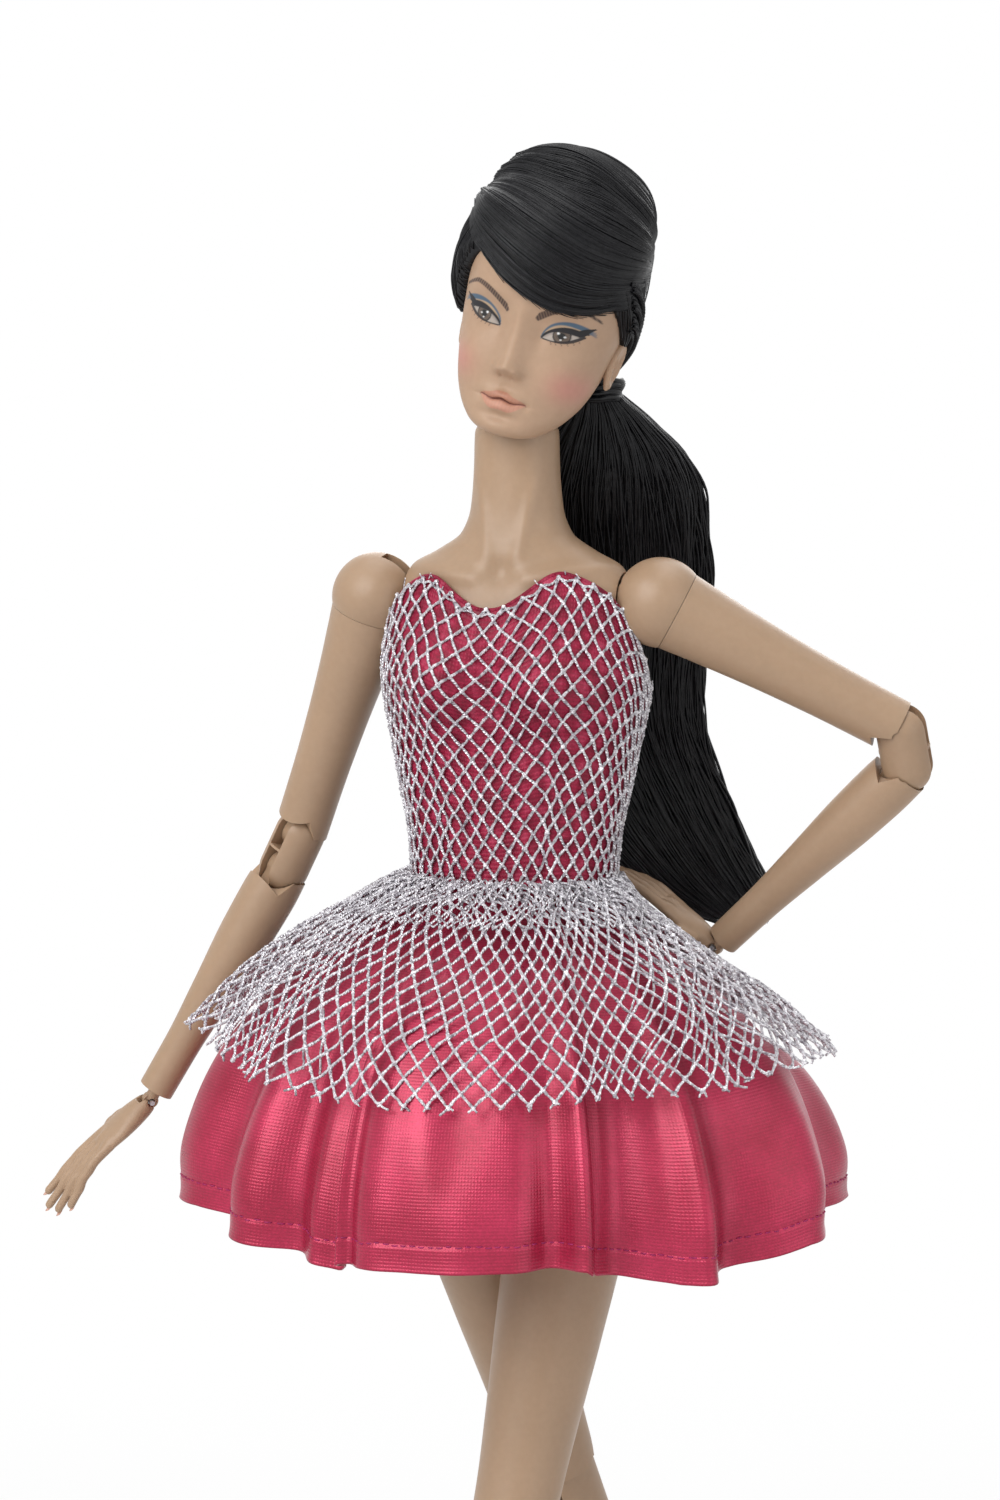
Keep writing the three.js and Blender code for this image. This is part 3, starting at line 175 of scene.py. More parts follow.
def smooth_rows(rows, places):
    """Values of a table of rows, at places given by its first column, on a curve that doesn't overshoot."""
    rows = np.array(rows, float)
    x = rows[:, 0]
    out = [np.asarray(places, float)]
    h = np.diff(x)
    for y in rows[:, 1:].T:
        d = np.diff(y) / h
        m = np.zeros_like(y)
        same = d[:-1] * d[1:] > 0
        w1, w2 = 2 * h[1:] + h[:-1], h[1:] + 2 * h[:-1]
        with np.errstate(divide="ignore", invalid="ignore"):
            inner = np.where(same, (w1 + w2) / (w1 / d[:-1] + w2 / d[1:]), 0)
        m[1:-1] = inner
        m[0], m[-1] = d[0], d[-1]
        n = np.clip(np.searchsorted(x, places, side="right") - 1, 0, len(h) - 1)
        t = np.clip((places - x[n]) / h[n], 0, 1)
        out.append(
            (1 + 2 * t) * (1 - t) ** 2 * y[n] + t * (1 - t) ** 2 * h[n] * m[n]
            + t * t * (3 - 2 * t) * y[n + 1] + t * t * (t - 1) * h[n] * m[n + 1]
        )
    return np.array(out)


def bump(x, spread):
    return np.exp(-((x / spread) ** 2))


def step(x, low, high):
    t = np.clip((x - low) / (high - low), 0, 1)
    return t * t * (3 - 2 * t)


def between(x, rise, risen, fall, fallen):
    """1 in the middle of a range and 0 outside it, with soft ends."""
    return step(x, rise, risen) * (1 - step(x, fall, fallen))


def circle(sides):
    return np.arange(sides) * 2 * math.pi / sides


def oval(angles, wide, deep, z, y=0.0):
    return np.stack([np.cos(angles) * wide, np.sin(angles) * deep + y, np.full(len(angles), z)], -1)


def unit(a):
    return a / np.linalg.norm(a, axis=-1, keepdims=True)


def ball_points(radius, centre=(0, 0, 0), sides=40):
    rings = []
    for n in range(sides // 2 + 1):
        a = math.pi * (n + 0.02) / (sides // 2 + 0.04)
        r = radius * math.sin(a)
        rings.append(oval(circle(sides), r, r, radius * math.cos(a)) + np.array(centre))
    return rings


def rod_rings(radius, length, axis, centre=(0, 0, 0), sides=40, bevel=0.0):
    b = circle(sides)
    half = length / 2
    stations = [(-half, radius), (half, radius)]
    if bevel:
        stations = [(-half, radius - bevel), (-half + bevel, radius), (half - bevel, radius),
                    (half, radius - bevel)]
    rings = []
    for along, r in stations:
        c, s, o = r * np.cos(b), r * np.sin(b), np.full(sides, along)
        ring = {"x": (o, c, s), "y": (s, o, c), "z": (c, s, o)}[axis]
        rings.append(np.stack(ring, -1) + np.array(centre))
    return rings


def block_rings(x, y, z, centre=(0, 0, 0), spin=None):
    ring = np.array([[-x, -y], [x, -y], [x, y], [-x, y]]) / 2
    rings = np.array([np.c_[ring, np.full(4, h)] for h in (-z / 2, z / 2)])
    if spin is not None:
        rings = rings @ spin[:3, :3].T
    return rings + np.array(centre)


def spun_block(x, y, z, spin, offset, centre=(0, 0, 0)):
    """A block that stands off from the centre, turned about it by spin."""
    return block_rings(x, y, z, np.array(centre) + spin[:3, :3] @ np.array(offset), spin)


def apply_modifiers(ob):
    dg = bpy.context.evaluated_depsgraph_get()
    new = bpy.data.meshes.new_from_object(ob.evaluated_get(dg))
    ob.modifiers.clear()
    old = ob.data
    ob.data = new
    bpy.data.meshes.remove(old)


def carve(ob, matrix, cuts=(), adds=(), last=()):
    """Cuts, then adds, then cuts the given rings' solids, all in the frame of matrix."""
    for kind, group in (("DIFFERENCE", cuts), ("UNION", adds), ("DIFFERENCE", last)):
        for rings in group:
            tool = solid("tool", rings, matrix)
            m = ob.modifiers.new("carve", "BOOLEAN")
            m.operation, m.object, m.solver = kind, tool, "MANIFOLD"
            apply_modifiers(ob)
            bpy.data.objects.remove(tool)
    return ob


def finish_plastic(ob, material, node, angle=32, bevel=0.14, nodes=()):
    """Smooths a moulded piece but for its sharp edges, which get a small bevel."""
    me = ob.data
    me.polygons.foreach_set("use_smooth", np.full(len(me.polygons), True))
    me.set_sharp_from_angle(angle=math.radians(angle))
    if bevel:
        m = ob.modifiers.new("edge", "BEVEL")
        m.width, m.segments, m.limit_method, m.angle_limit = bevel * MM, 2, "ANGLE", math.radians(40)
        m.harden_normals = False
    dress_up(ob, material, node, nodes or (node,))


def dress_up(ob, material, body, nodes=()):
    ob.data.materials.clear()
    ob.data.materials.append(material)
    if body:
        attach(ob, body)
    if nodes:
        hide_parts(*nodes)


def tubes(paths, radius, sides=6, upright=None):
    """Closed tubes of P points each as one set of arrays; paths is (N, P, 3), radius a number or (N, P)."""
    paths = np.asarray(paths, float)
    n, p = paths.shape[:2]
    radius = np.broadcast_to(np.asarray(radius, float), (n, p))
    tangent = np.gradient(paths, axis=1)
    tangent /= np.maximum(np.linalg.norm(tangent, axis=2, keepdims=True), 1e-9)
    ref = np.zeros_like(tangent)
    ref[..., 2] = 1
    ref = np.where(np.abs(tangent[:, :1, 2:3]) > 0.9, np.array([1.0, 0, 0]), ref)
    if upright is not None:
        ref = np.zeros_like(tangent) + np.array(upright, float)
    u = np.cross(tangent, ref)
    u /= np.maximum(np.linalg.norm(u, axis=2, keepdims=True), 1e-9)
    v = np.cross(tangent, u)
    a = circle(sides)
    rings = paths[:, :, None, :]
    for way, share in ((u, np.cos(a)), (v, np.sin(a))):
        rings = rings + way[:, :, None, :] * (share[None, None, :, None] * radius[:, :, None, None])
    base = (np.arange(n) * p * sides)[:, None, None]
    i = (np.arange(p - 1) * sides)[None, :, None]
    k = np.arange(sides)[None, None, :]
    m = (k + 1) % sides
    quads = [base + i + m, base + i + sides + m, base + i + sides + k, base + i + k]
    quads = np.stack(quads, -1).reshape(-1, 4)
    along = np.cumsum(np.linalg.norm(np.diff(paths, axis=1), axis=2), 1)
    along = np.concatenate([np.zeros((n, 1)), along], 1)
    uv = np.stack(np.broadcast_arrays(a / (2 * math.pi), along[:, :, None] * MM), -1).reshape(-1, 2)
    first = (np.arange(n) * p * sides)[:, None]
    last = first + (p - 1) * sides
    f = np.arange(1, sides - 1)[None, :]
    t1 = np.stack(np.broadcast_arrays(first, first + f + 1, first + f), -1)
    t2 = np.stack(np.broadcast_arrays(last, last + f, last + f + 1), -1)
    tris = np.concatenate([t1.reshape(-1, 3), t2.reshape(-1, 3)])
    return rings.reshape(-1, 3), quads, tris, uv


def merged(groups):
    """One set of points, quads, triangles and, where given, cloth places from several sets."""
    out, base = [[] for _ in groups[0]], 0
    for p, q, t, *uv in groups:
        for column, array in zip(out, (p, q + base, t + base, *uv)):
            column.append(array)
        base += len(p)
    return [np.vstack(column) for column in out]


# Materials
def nodes_of(name, colour, rough, metallic=0.0, **extra):
    m = bpy.data.materials.new(name)
    m.use_nodes = True
    b = m.node_tree.nodes["Principled BSDF"]
    b.inputs["Base Color"].default_value = (*colour, 1)
    b.inputs["Roughness"].default_value = rough
    b.inputs["Metallic"].default_value = metallic
    for key, value in extra.items():
        b.inputs[key.replace("_", " ")].default_value = value
    return m, m.node_tree, b


def add(nt, kind, **values):
    n = nt.nodes.new(kind)
    for key, value in values.items():
        if key in n.bl_rna.properties:
            setattr(n, key, value)
        else:
            n.inputs[key.replace("_", " ")].default_value = value
    return n


def noise(nt, scale, detail=3.0, stretch=None):
    out = add(nt, "ShaderNodeTexCoord").outputs["Object"]
    if stretch:
        mapping = add(nt, "ShaderNodeMapping")
        mapping.inputs["Scale"].default_value = stretch
        nt.links.new(out, mapping.inputs["Vector"])
        out = mapping.outputs["Vector"]
    n = add(nt, "ShaderNodeTexNoise", Scale=scale, Detail=detail)
    nt.links.new(out, n.inputs["Vector"])
    return n.outputs["Fac"]


def multiply(nt, a, b):
    m = add(nt, "ShaderNodeMix", data_type="RGBA", blend_type="MULTIPLY")
    m.inputs[0].default_value = 1.0
    nt.links.new(a, m.inputs[6])
    nt.links.new(b, m.inputs[7])
    return m.outputs[2]


def feed(nt, b, name, fac, stops):
    """A colour ramp over a 0 to 1 output, into one input of a material. A stop may be one grey value."""
    stops = [(place, c if isinstance(c, tuple) else (c,) * 3) for place, c in stops]
    nt.links.new(ramp(nt, fac, stops), b.inputs[name])


def ramp(nt, fac, stops):
    r = add(nt, "ShaderNodeValToRGB")
    e = r.color_ramp.elements
    while len(e) < len(stops):
        e.new(0.5)
    for k, (place, colour) in enumerate(stops):
        e[k].position = place
        e[k].color = (*colour, 1) if len(colour) == 3 else colour
    nt.links.new(fac, r.inputs["Fac"])
    return r.outputs["Color"]


def math_node(nt, op, a, b=0.0):
    m = add(nt, "ShaderNodeMath", operation=op)
    for socket, value in ((m.inputs[0], a), (m.inputs[1], b)):
        if isinstance(value, (int, float)):
            socket.default_value = value
        else:
            nt.links.new(value, socket)
    return m.outputs[0]


def relief(nt, b, height, distance, strength=1.0, after=None):
    n = add(nt, "ShaderNodeBump", Strength=strength, Distance=distance)
    nt.links.new(height, n.inputs["Height"])
    if after:
        nt.links.new(after, n.inputs["Normal"])
    nt.links.new(n.outputs["Normal"], b.inputs["Normal"])
    return n.outputs["Normal"]


def varied(colour, amount):
    return tuple(c * (1 - amount) for c in colour), tuple(min(1, c * (1 + amount)) for c in colour)


def plastic(name, colour, rough, paint=False, pores=True):
    m, nt, b = nodes_of(name, colour, rough, Subsurface_Weight=0.06 if pores else 0.0, Subsurface_Scale=0.003,
                        Subsurface_Radius=(1.0, 0.45, 0.25), Specular_IOR_Level=0.42)
    low, high = varied(colour, 0.05)
    tone = ramp(nt, noise(nt, 55, 4), [(0.3, low), (0.7, high)])
    fine = ramp(nt, noise(nt, 900, 2), [(0.35, (0.965, 0.96, 0.955)), (0.65, (1, 1, 1))])
    if paint:
        tone = add(nt, "ShaderNodeVertexColor", layer_name="paint").outputs["Color"]
    nt.links.new(multiply(nt, tone, fine), b.inputs["Base Color"])
    feed(nt, b, "Roughness", noise(nt, 140, 3), [(0.3, rough - 0.05), (0.75, rough + 0.08)])
    first = relief(nt, b, noise(nt, 2600, 2), 0.00002, 0.35) if pores else None
    relief(nt, b, noise(nt, 260, 2), 0.00006, 0.25, first)
    return m


SKIN = (0.39, 0.26, 0.166)
FACE = (0.44, 0.29, 0.192)
skin = plastic("skin_plastic", SKIN, 0.4)
hand_skin = plastic("hand_plastic", SKIN, 0.42, pores=False)
joint_skin = plastic("joint_plastic", tuple(c * 0.96 for c in SKIN), 0.42)
face_vinyl = plastic("face_vinyl", FACE, 0.5, paint=True)
inner = plastic("inner_plastic", (0.5, 0.42, 0.34), 0.5)


def steel():
    m, nt, b = nodes_of("pin_steel", (0.6, 0.6, 0.62), 0.32, 0.95)
    lines = noise(nt, 700, 3, (1, 1, 14))
    feed(nt, b, "Base Color", lines, [(0.3, (0.5, 0.5, 0.52)), (0.7, (0.72, 0.72, 0.74))])
    feed(nt, b, "Roughness", lines, [(0.3, 0.24), (0.7, 0.42)])
    relief(nt, b, lines, 0.00002, 0.4)
    return m


def hair_fibre():
    m, nt, b = nodes_of("hair_fibre", (0.006, 0.006, 0.007), 0.36, Specular_IOR_Level=0.24, Anisotropic=0.5)
    feed(nt, b, "Base Color", noise(nt, 1500, 2),
         [(0.3, (0.003, 0.003, 0.004)), (0.75, (0.011, 0.011, 0.013))])
    feed(nt, b, "Roughness", noise(nt, 500, 2), [(0.3, 0.3), (0.7, 0.46)])
    relief(nt, b, noise(nt, 4000, 2), 0.00003, 0.4)
    return m


def cloth_lengths(nt):
    """The cloth's own lengths, across and down, as outputs X and Y."""
    split = add(nt, "ShaderNodeSeparateXYZ")
    nt.links.new(add(nt, "ShaderNodeUVMap", uv_map="cloth").outputs["UV"], split.inputs[0])
    return split.outputs


def cloth_waves(nt, across, down):
    """Rows and stitches of a fine knit over the cloth's own lengths, as two 0 to 1 outputs."""
    lengths = cloth_lengths(nt)
    out = []
    for axis, pitch in (("X", across), ("Y", down)):
        phase = math_node(nt, "MULTIPLY", lengths[axis], 2 * math.pi / (pitch * MM))
        out.append(math_node(nt, "MULTIPLY_ADD", math_node(nt, "SINE", phase), 0.5))
        out[-1].node.inputs[2].default_value = 0.5
    return out


def lame():
    m, nt, b = nodes_of("pink_lame", (0.42, 0.035, 0.1), 0.34, 0.35, Specular_IOR_Level=0.45,
                        Sheen_Weight=0.05, Sheen_Roughness=0.35, Sheen_Tint=(1, 0.55, 0.68, 1),
                        Coat_Weight=0.12, Coat_Roughness=0.22)
    stitch, row = cloth_waves(nt, 0.4, 0.5)
    base = ramp(nt, noise(nt, 90, 5), [(0.3, (0.35, 0.009, 0.043)), (0.7, (0.5, 0.022, 0.08))])
    shade = ramp(nt, row, [(0.1, (0.86, 0.84, 0.85)), (0.6, (1, 1, 1))])
    speck = ramp(nt, noise(nt, 2400, 1), [(0.42, (0.86, 0.86, 0.86)), (0.62, (1.0, 1.0, 1.0))])
    nt.links.new(multiply(nt, multiply(nt, base, shade), speck), b.inputs["Base Color"])
    feed(nt, b, "Roughness", noise(nt, 160, 4), [(0.3, 0.26), (0.7, 0.44)])
    height = math_node(nt, "MULTIPLY", row, math_node(nt, "ADD", stitch, 0.5))
    first = relief(nt, b, height, 0.00006, 0.4)
    relief(nt, b, noise(nt, 45, 3), 0.0006, 0.35, first)
    return m


def bodice_cloth():
    m, nt, b = nodes_of("pink_cloth", (0.38, 0.02, 0.085), 0.5, 0.05, Specular_IOR_Level=0.3,
                        Sheen_Weight=0.03, Sheen_Tint=(1, 0.5, 0.65, 1))
    stitch, row = cloth_waves(nt, 0.42, 0.5)
    tones = [(0.35, (0.19, 0.004, 0.024)), (0.55, (0.33, 0.009, 0.045)), (0.72, (0.5, 0.05, 0.11))]
    shade = ramp(nt, row, [(0.1, (0.82, 0.8, 0.82)), (0.6, (1, 1, 1))])
    nt.links.new(multiply(nt, ramp(nt, noise(nt, 420, 5), tones), shade), b.inputs["Base Color"])
    feed(nt, b, "Roughness", noise(nt, 380, 3), [(0.3, 0.36), (0.7, 0.6)])
    relief(nt, b, math_node(nt, "MULTIPLY", row, math_node(nt, "ADD", stitch, 0.4)), 0.00012, 0.6)
    return m


def lurex():
    m, nt, b = nodes_of("silver_net", (0.6, 0.6, 0.64), 0.32, 0.45, Specular_IOR_Level=0.7)
    lengths = cloth_lengths(nt)
    along = math_node(nt, "MULTIPLY", lengths["Y"], 2 * math.pi / (0.55 * MM))
    phase = math_node(nt, "ADD", along, math_node(nt, "MULTIPLY", lengths["X"], 4 * math.pi))
    # painted glints: the bright spots of the base colour stand in for light caught by the metal thread
    tones = [(0.3, (0.24, 0.21, 0.25)), (0.45, (0.56, 0.54, 0.58)), (0.62, (0.92, 0.91, 0.95))]
    feed(nt, b, "Base Color", noise(nt, 1400, 2), tones)
    feed(nt, b, "Roughness", noise(nt, 2100, 1), [(0.3, 0.18), (0.7, 0.5)])
    relief(nt, b, math_node(nt, "SINE", phase), 0.00012, 0.7)
    return m


def thread(name, colour):
    m, nt, b = nodes_of(name, colour, 0.6)
    low, high = varied(colour, 0.25)
    feed(nt, b, "Base Color", noise(nt, 1800, 2), [(0.3, low), (0.7, high)])
    relief(nt, b, noise(nt, 3000, 2), 0.00005, 0.5)
    return m


def nail_varnish():
    m, nt, b = nodes_of("nail_paint", (0.62, 0.34, 0.25), 0.25, Specular_IOR_Level=0.6)
    feed(nt, b, "Base Color", noise(nt, 600, 2), [(0.3, (0.56, 0.3, 0.22)), (0.7, (0.68, 0.39, 0.3))])
    return m


pin_steel, hair, pink_lame, pink_cloth, silver = steel(), hair_fibre(), lame(), bodice_cloth(), lurex()
hem_thread = thread("hem_thread", (0.3, 0.008, 0.09))
tape = thread("hook_tape", (0.4, 0.02, 0.09))
nail_paint = nail_varnish()


# Torso
TORSO_ROWS = [
    (-0.555, 0.1, 0.3, 0.1), (-0.545, 0.3, 0.62, 0.1), (-0.5, 0.66, 1, 0.12), (-0.44, 0.92, 1.15, 0.14),
    (-0.35, 1.04, 1.2, 0.14), (-0.24, 0.99, 1.1, 0.08), (-0.12, 0.83, 0.93, 0.02), (0, 0.73, 0.81, 0),
    (0.1, 0.755, 0.83, 0.02), (0.22, 0.84, 0.9, 0.05), (0.34, 0.9, 0.95, 0.08), (0.45, 0.93, 0.98, 0.1),
    (0.54, 0.945, 0.95, 0.12), (0.62, 0.955, 0.87, 0.14), (0.685, 0.84, 0.76, 0.14), (0.72, 0.62, 0.68, 0.13),
    (0.755, 0.44, 0.61, 0.13), (0.81, 0.362, 0.57, 0.13), (0.9, 0.334, 0.55, 0.125),
    (0.972, 0.326, 0.54, 0.125), (0.998, 0.28, 0.46, 0.125),
]


def torso_surface(angle, rise, out=0.0, bare=False):
    """Points on the torso in its own frame, for arrays of angle and rise above the waist."""
    angle, rise = np.broadcast_arrays(np.asarray(angle, float), np.asarray(rise, float))
    _, width, depth, back = smooth_rows(TORSO_ROWS, (rise / TORSO_H).ravel())
    width, depth, back = (a.reshape(rise.shape) for a in (width, depth, back))
    s = np.sin(angle)
    x = np.cos(angle) * (width * CHEST_W + out)
    y = back * CHEST_D + s * (depth * CHEST_D + out)
    bust = bump(np.abs(x) - 9.2, 7.4) * bump(rise - 0.447 * TORSO_H, 7.4)
    y = np.where(s < 0, y + s * (6.2 if bare else 7.2) * bust, y)
    if bare:
        front = np.clip(-s, 0, 1)
        collar = bump(rise - (49.2 + 0.16 * np.abs(x)), 1.5) * between(np.abs(x), 2.2, 5, 15, 19)
        above = bump(rise - (52.4 + 0.1 * np.abs(x)), 1.7) * between(np.abs(x), 3, 7, 13, 17)
        notch = bump(x, 1.9) * bump(rise - 50.6, 2.4)
        tendon = bump(np.abs(x) - (1.9 + 0.2 * (rise - 50)), 1.2) * between(rise, 50, 55, 60, 72)
        y = y - front * (0.75 * collar - 0.5 * above - 1.15 * notch + 0.55 * tendon)
        rear = np.clip(s, 0, 1)
        blade = bump(np.abs(x) - 9.5, 4.2) * bump(rise - 36, 8)
        spine = bump(x, 1.6) * between(rise, -6, 4, 44, 52)
        seat = bump(np.abs(x) - 9.5, 8) * bump(rise + 27, 11)
        cleft = bump(x, 1.5) * (1 - step(rise, -18, -12))
        y = y + rear * (0.9 * blade - 0.8 * spine + 1.6 * seat - 1.6 * cleft)
    return np.stack([x, y, WAIST + rise], -1)


def build_torso():
    rises = np.r_[np.linspace(-0.555, -0.5, 8), np.linspace(-0.49, 0.6, 90), np.linspace(0.607, 0.997, 66)]
    rings = torso_surface(circle(128)[None, :], (rises * TORSO_H)[:, None], bare=True)
    body = solid("torso_shell", rings, TORSO)
    cuts = [block_rings(3.6, 30, 14, (0, 13.2, WAIST + NECK_PIVOT - 9.8 + 7))]
    seat = 10.7
    for side in (1, -1):
        arm = np.array((side * SHOULDER_OUT, FORWARD, WAIST + SHOULDER_RISE))
        leg = np.array((side * HIP_OUT, FORWARD, WAIST - HIP_DROP))
        cuts += [
            ball_points(7.65, arm),
            rod_rings(7.1, 13, "z", arm - (0, 0, 6.5)),
            rod_rings(2.5, 17, "x", arm - (side * 8.4, 0, 0)),
            rod_rings(seat, 70, "x", leg + (side * (35 - seat), 0, 0), 64),
            block_rings(70, 60, 60, leg + (side * (35 - seat), -FORWARD, -30)),
            spun_block(60, 2 * seat, 60, turn("y", -side * 30), (side * (seat - 30), 0, -30), leg),
        ]
        for stride in (-30, -60, -85):
            rings = np.array(rod_rings(seat, 60, "z", (0, 0, -30), 48))
            cuts.append(rings @ turn("x", stride)[:3, :3].T + leg)
    carve(body, TORSO, cuts)
    finish_plastic(body, skin, "torso", 35, 0.12, ("torso_front", "torso_back"))


# Limbs
UPPER_ARM_ROWS = [(0, 1, 1, 0), (0.12, 0.92, 0.93, 0), (0.28, 0.82, 0.85, 0), (0.5, 0.735, 0.76, 0),
                  (0.75, 0.69, 0.7, 0), (1, 0.68, 0.68, 0)]
FOREARM_ROWS = [(0, 0.93, 0.93, 0), (0.12, 1, 0.97, 0), (0.28, 0.98, 0.93, 0), (0.55, 0.8, 0.76, 0),
                (0.8, 0.67, 0.62, 0), (1, 0.66, 0.59, 0)]
THIGH_ROWS = [(0, 0.97, 1, 0), (0.12, 0.97, 1.02, 0), (0.3, 0.94, 1, 0), (0.52, 0.85, 0.9, 0),
              (0.76, 0.73, 0.76, 0), (0.92, 0.67, 0.69, 0), (1, 0.66, 0.68, 0)]
SHIN_ROWS = [(0, 0.86, 0.87, 0), (0.1, 0.86, 0.87, 0.05), (0.26, 0.96, 1, 0.14), (0.42, 0.88, 0.94, 0.14),
             (0.64, 0.62, 0.68, 0.06), (0.85, 0.46, 0.52, 0), (1, 0.44, 0.52, 0)]
FOOT_ROWS = [(0, -0.08, 0, 0.72, 0.86), (0.25, 0.2, 0.08, 0.76, 1), (0.5, 0.45, 0.36, 0.74, 0.9),
             (0.75, 0.7, 0.68, 0.86, 0.66), (1, 0.86, 1, 1, 0.44)]
TOES = ((-3.3, -27.5, 1.25), (-1.5, -28.6, 1.05), (0.2, -28.6, 1.0), (1.8, -27.8, 0.95), (3.2, -26.4, 0.85))
ELBOW = dict(radius=4.2, spacing=6.4, tongue=2.8, width=2.4, pin=0.8, wall=0.7, bend=62, lip=0.4,
             forwards=True)
KNEE = dict(radius=6.3, spacing=9, tongue=4.1, width=3.2, pin=1.2, wall=0.9, bend=62, lip=0.5, forwards=False)


def limb_rings(radius, length, rows, top=0.0, rings=56, sides=48):
    places = np.linspace(0, 1, rings)
    _, width, depth, back = smooth_rows(rows, places) * radius
    return [oval(circle(sides), width[n], depth[n], top - v * length, back[n]) for n, v in enumerate(places)]


def knuckle_end(ob, matrix, joint, height, towards):
    """A limb's end that takes a knuckle: a cup with a lip and a way out, a tongue, and the pin's bore."""
    centre = np.array((0, 0, height))
    seat = joint["radius"] + 0.35
    block = spun_block(60, 60, 60, turn("x", -(90 - joint["bend"])), (0, 30, seat - 30))
    if joint["forwards"]:
        block = block @ turn("z", 180)[:3, :3].T
    if towards < 0:
        block = block @ (turn("x", 180) @ turn("z", 180))[:3, :3].T
    lip = block_rings(60, 60, 60, centre + (0, 0, towards * (joint["lip"] - 30)))
    reach = seat + 1
    adds = [
        rod_rings(joint["tongue"], joint["width"], "x", centre, 32),
        block_rings(joint["width"], 2 * joint["tongue"] * 0.85, reach, centre + (0, 0, towards * reach / 2)),
    ]
    last = [rod_rings(joint["pin"] + 0.3, 40, "x", centre, 24)]
    return carve(ob, matrix, [ball_points(seat, centre, 48), block + centre, lip], adds, last)


def knuckle_body(name, matrix, joint):
    """A knuckle with a rounded end, a slot and a bore at each of its two hinges."""
    r, gap = joint["radius"], joint["spacing"]
    quarter = math.pi / 2
    tilts = [quarter * 0.985] + [quarter * (1 - n / 16) for n in range(1, 17)]
    rings = []
    for way, low, order in ((1, 0, tilts), (-1, -gap, tilts[::-1])):
        rings += [oval(circle(48), r * math.cos(t), r * math.cos(t), way * r * math.sin(t) + low)
                  for t in order]
    width, depth = joint["width"] + 0.3, joint["tongue"] + 0.2
    length = depth + r + 2
    middle = length / 2 - depth
    bore = 2 * (r - joint["wall"])
    cuts = [block_rings(width, 40, length, (0, 0, z)) for z in (middle, -gap - middle)]
    cuts += [rod_rings(joint["pin"] + 0.3, bore, "x", (0, 0, z), 24) for z in (0, -gap)]
    return carve(solid(name, rings, matrix), matrix, cuts)


def finger_rings(length, radius, curl, root, fan, sides=20, count=26):
    """One finger in the hand's frame: two bends at its knuckles, a rounded tip and swells at the joints."""
    bend = math.radians(curl)
    rings = []
    spin = turn("y", fan)
    a = circle(sides)
    for n in range(count + 6):
        s = min(n / count, 1.0)
        over = max(0, n - count) / 6
        bent = bend * (0.5 * s + 0.25 * step(np.array(s), 0.3, 0.5) + 0.25 * step(np.array(s), 0.58, 0.78))
        mid = bent * 0.5
        centre = np.array((0, -length * s * math.sin(mid), -length * s * math.cos(mid)))
        thick = radius * (1.02 - 0.2 * s + 0.07 * bump(s - 0.42, 0.07) + 0.06 * bump(s - 0.7, 0.06))
        tip = np.array((0, -math.sin(bent), -math.cos(bent)))
        if over:
            centre = centre + tip * thick * 0.95 * math.sin(over * math.pi / 2)
            thick = thick * max(0.12, math.cos(over * math.pi / 2))
        across = np.sin(a) * thick * (0.88 if s > 0.8 else 0.95)
        ring = np.stack([np.cos(a) * thick, across * math.cos(bent), across * -math.sin(bent)], -1)
        rings.append((ring + centre) @ spin[:3, :3].T + np.array(root))
    return rings


def nail_patch(length, radius, curl, root, fan):
    """A nail on the back of a fingertip, as an oval plate following the finger."""
    bend = math.radians(curl)
    spin = turn("y", fan)
    pts = []
    for i in range(9):
        for j in range(9):
            u, v = (i / 8 - 0.5) * 2, j / 8
            edge = math.sqrt(max(0.02, 1 - (2 * v - 1) ** 4)) * 0.78
            s = 0.84 + 0.24 * v
            mid = (bend * min(s, 1) * 0.5 + bend * 0.25) * 0.9
            centre = np.array((0, -length * s * math.sin(mid), -length * s * math.cos(mid)))
            a = math.pi / 2 + u * edge * 0.95
            r = radius * (0.84 - 0.1 * v)
            off = np.array((math.cos(a), math.sin(a) * math.cos(bend), -math.sin(a) * math.sin(bend))) * r
            pts.append((centre + off * 1.06) @ spin[:3, :3].T + np.array(root))
    return np.array(pts)


PALM_ROWS = [(0.02, 0.5, 0.8), (0.12, 0.58, 0.95), (0.34, 0.8, 1), (0.7, 1, 0.82), (0.9, 1.0, 0.7),
             (1.04, 0.9, 0.5)]
FINGERS = [(-0.72, 0.9, -7, 14), (-0.24, 1, -2, 20), (0.24, 0.95, 3, 26), (0.7, 0.8, 8, 30)]
HAND = dict(length=11, half_width=3.6, half_depth=1.9, finger=14.5, finger_radius=1.0,
            thumb=9.6, thumb_radius=1.1, thumb_curl=28, thumb_fan=38)


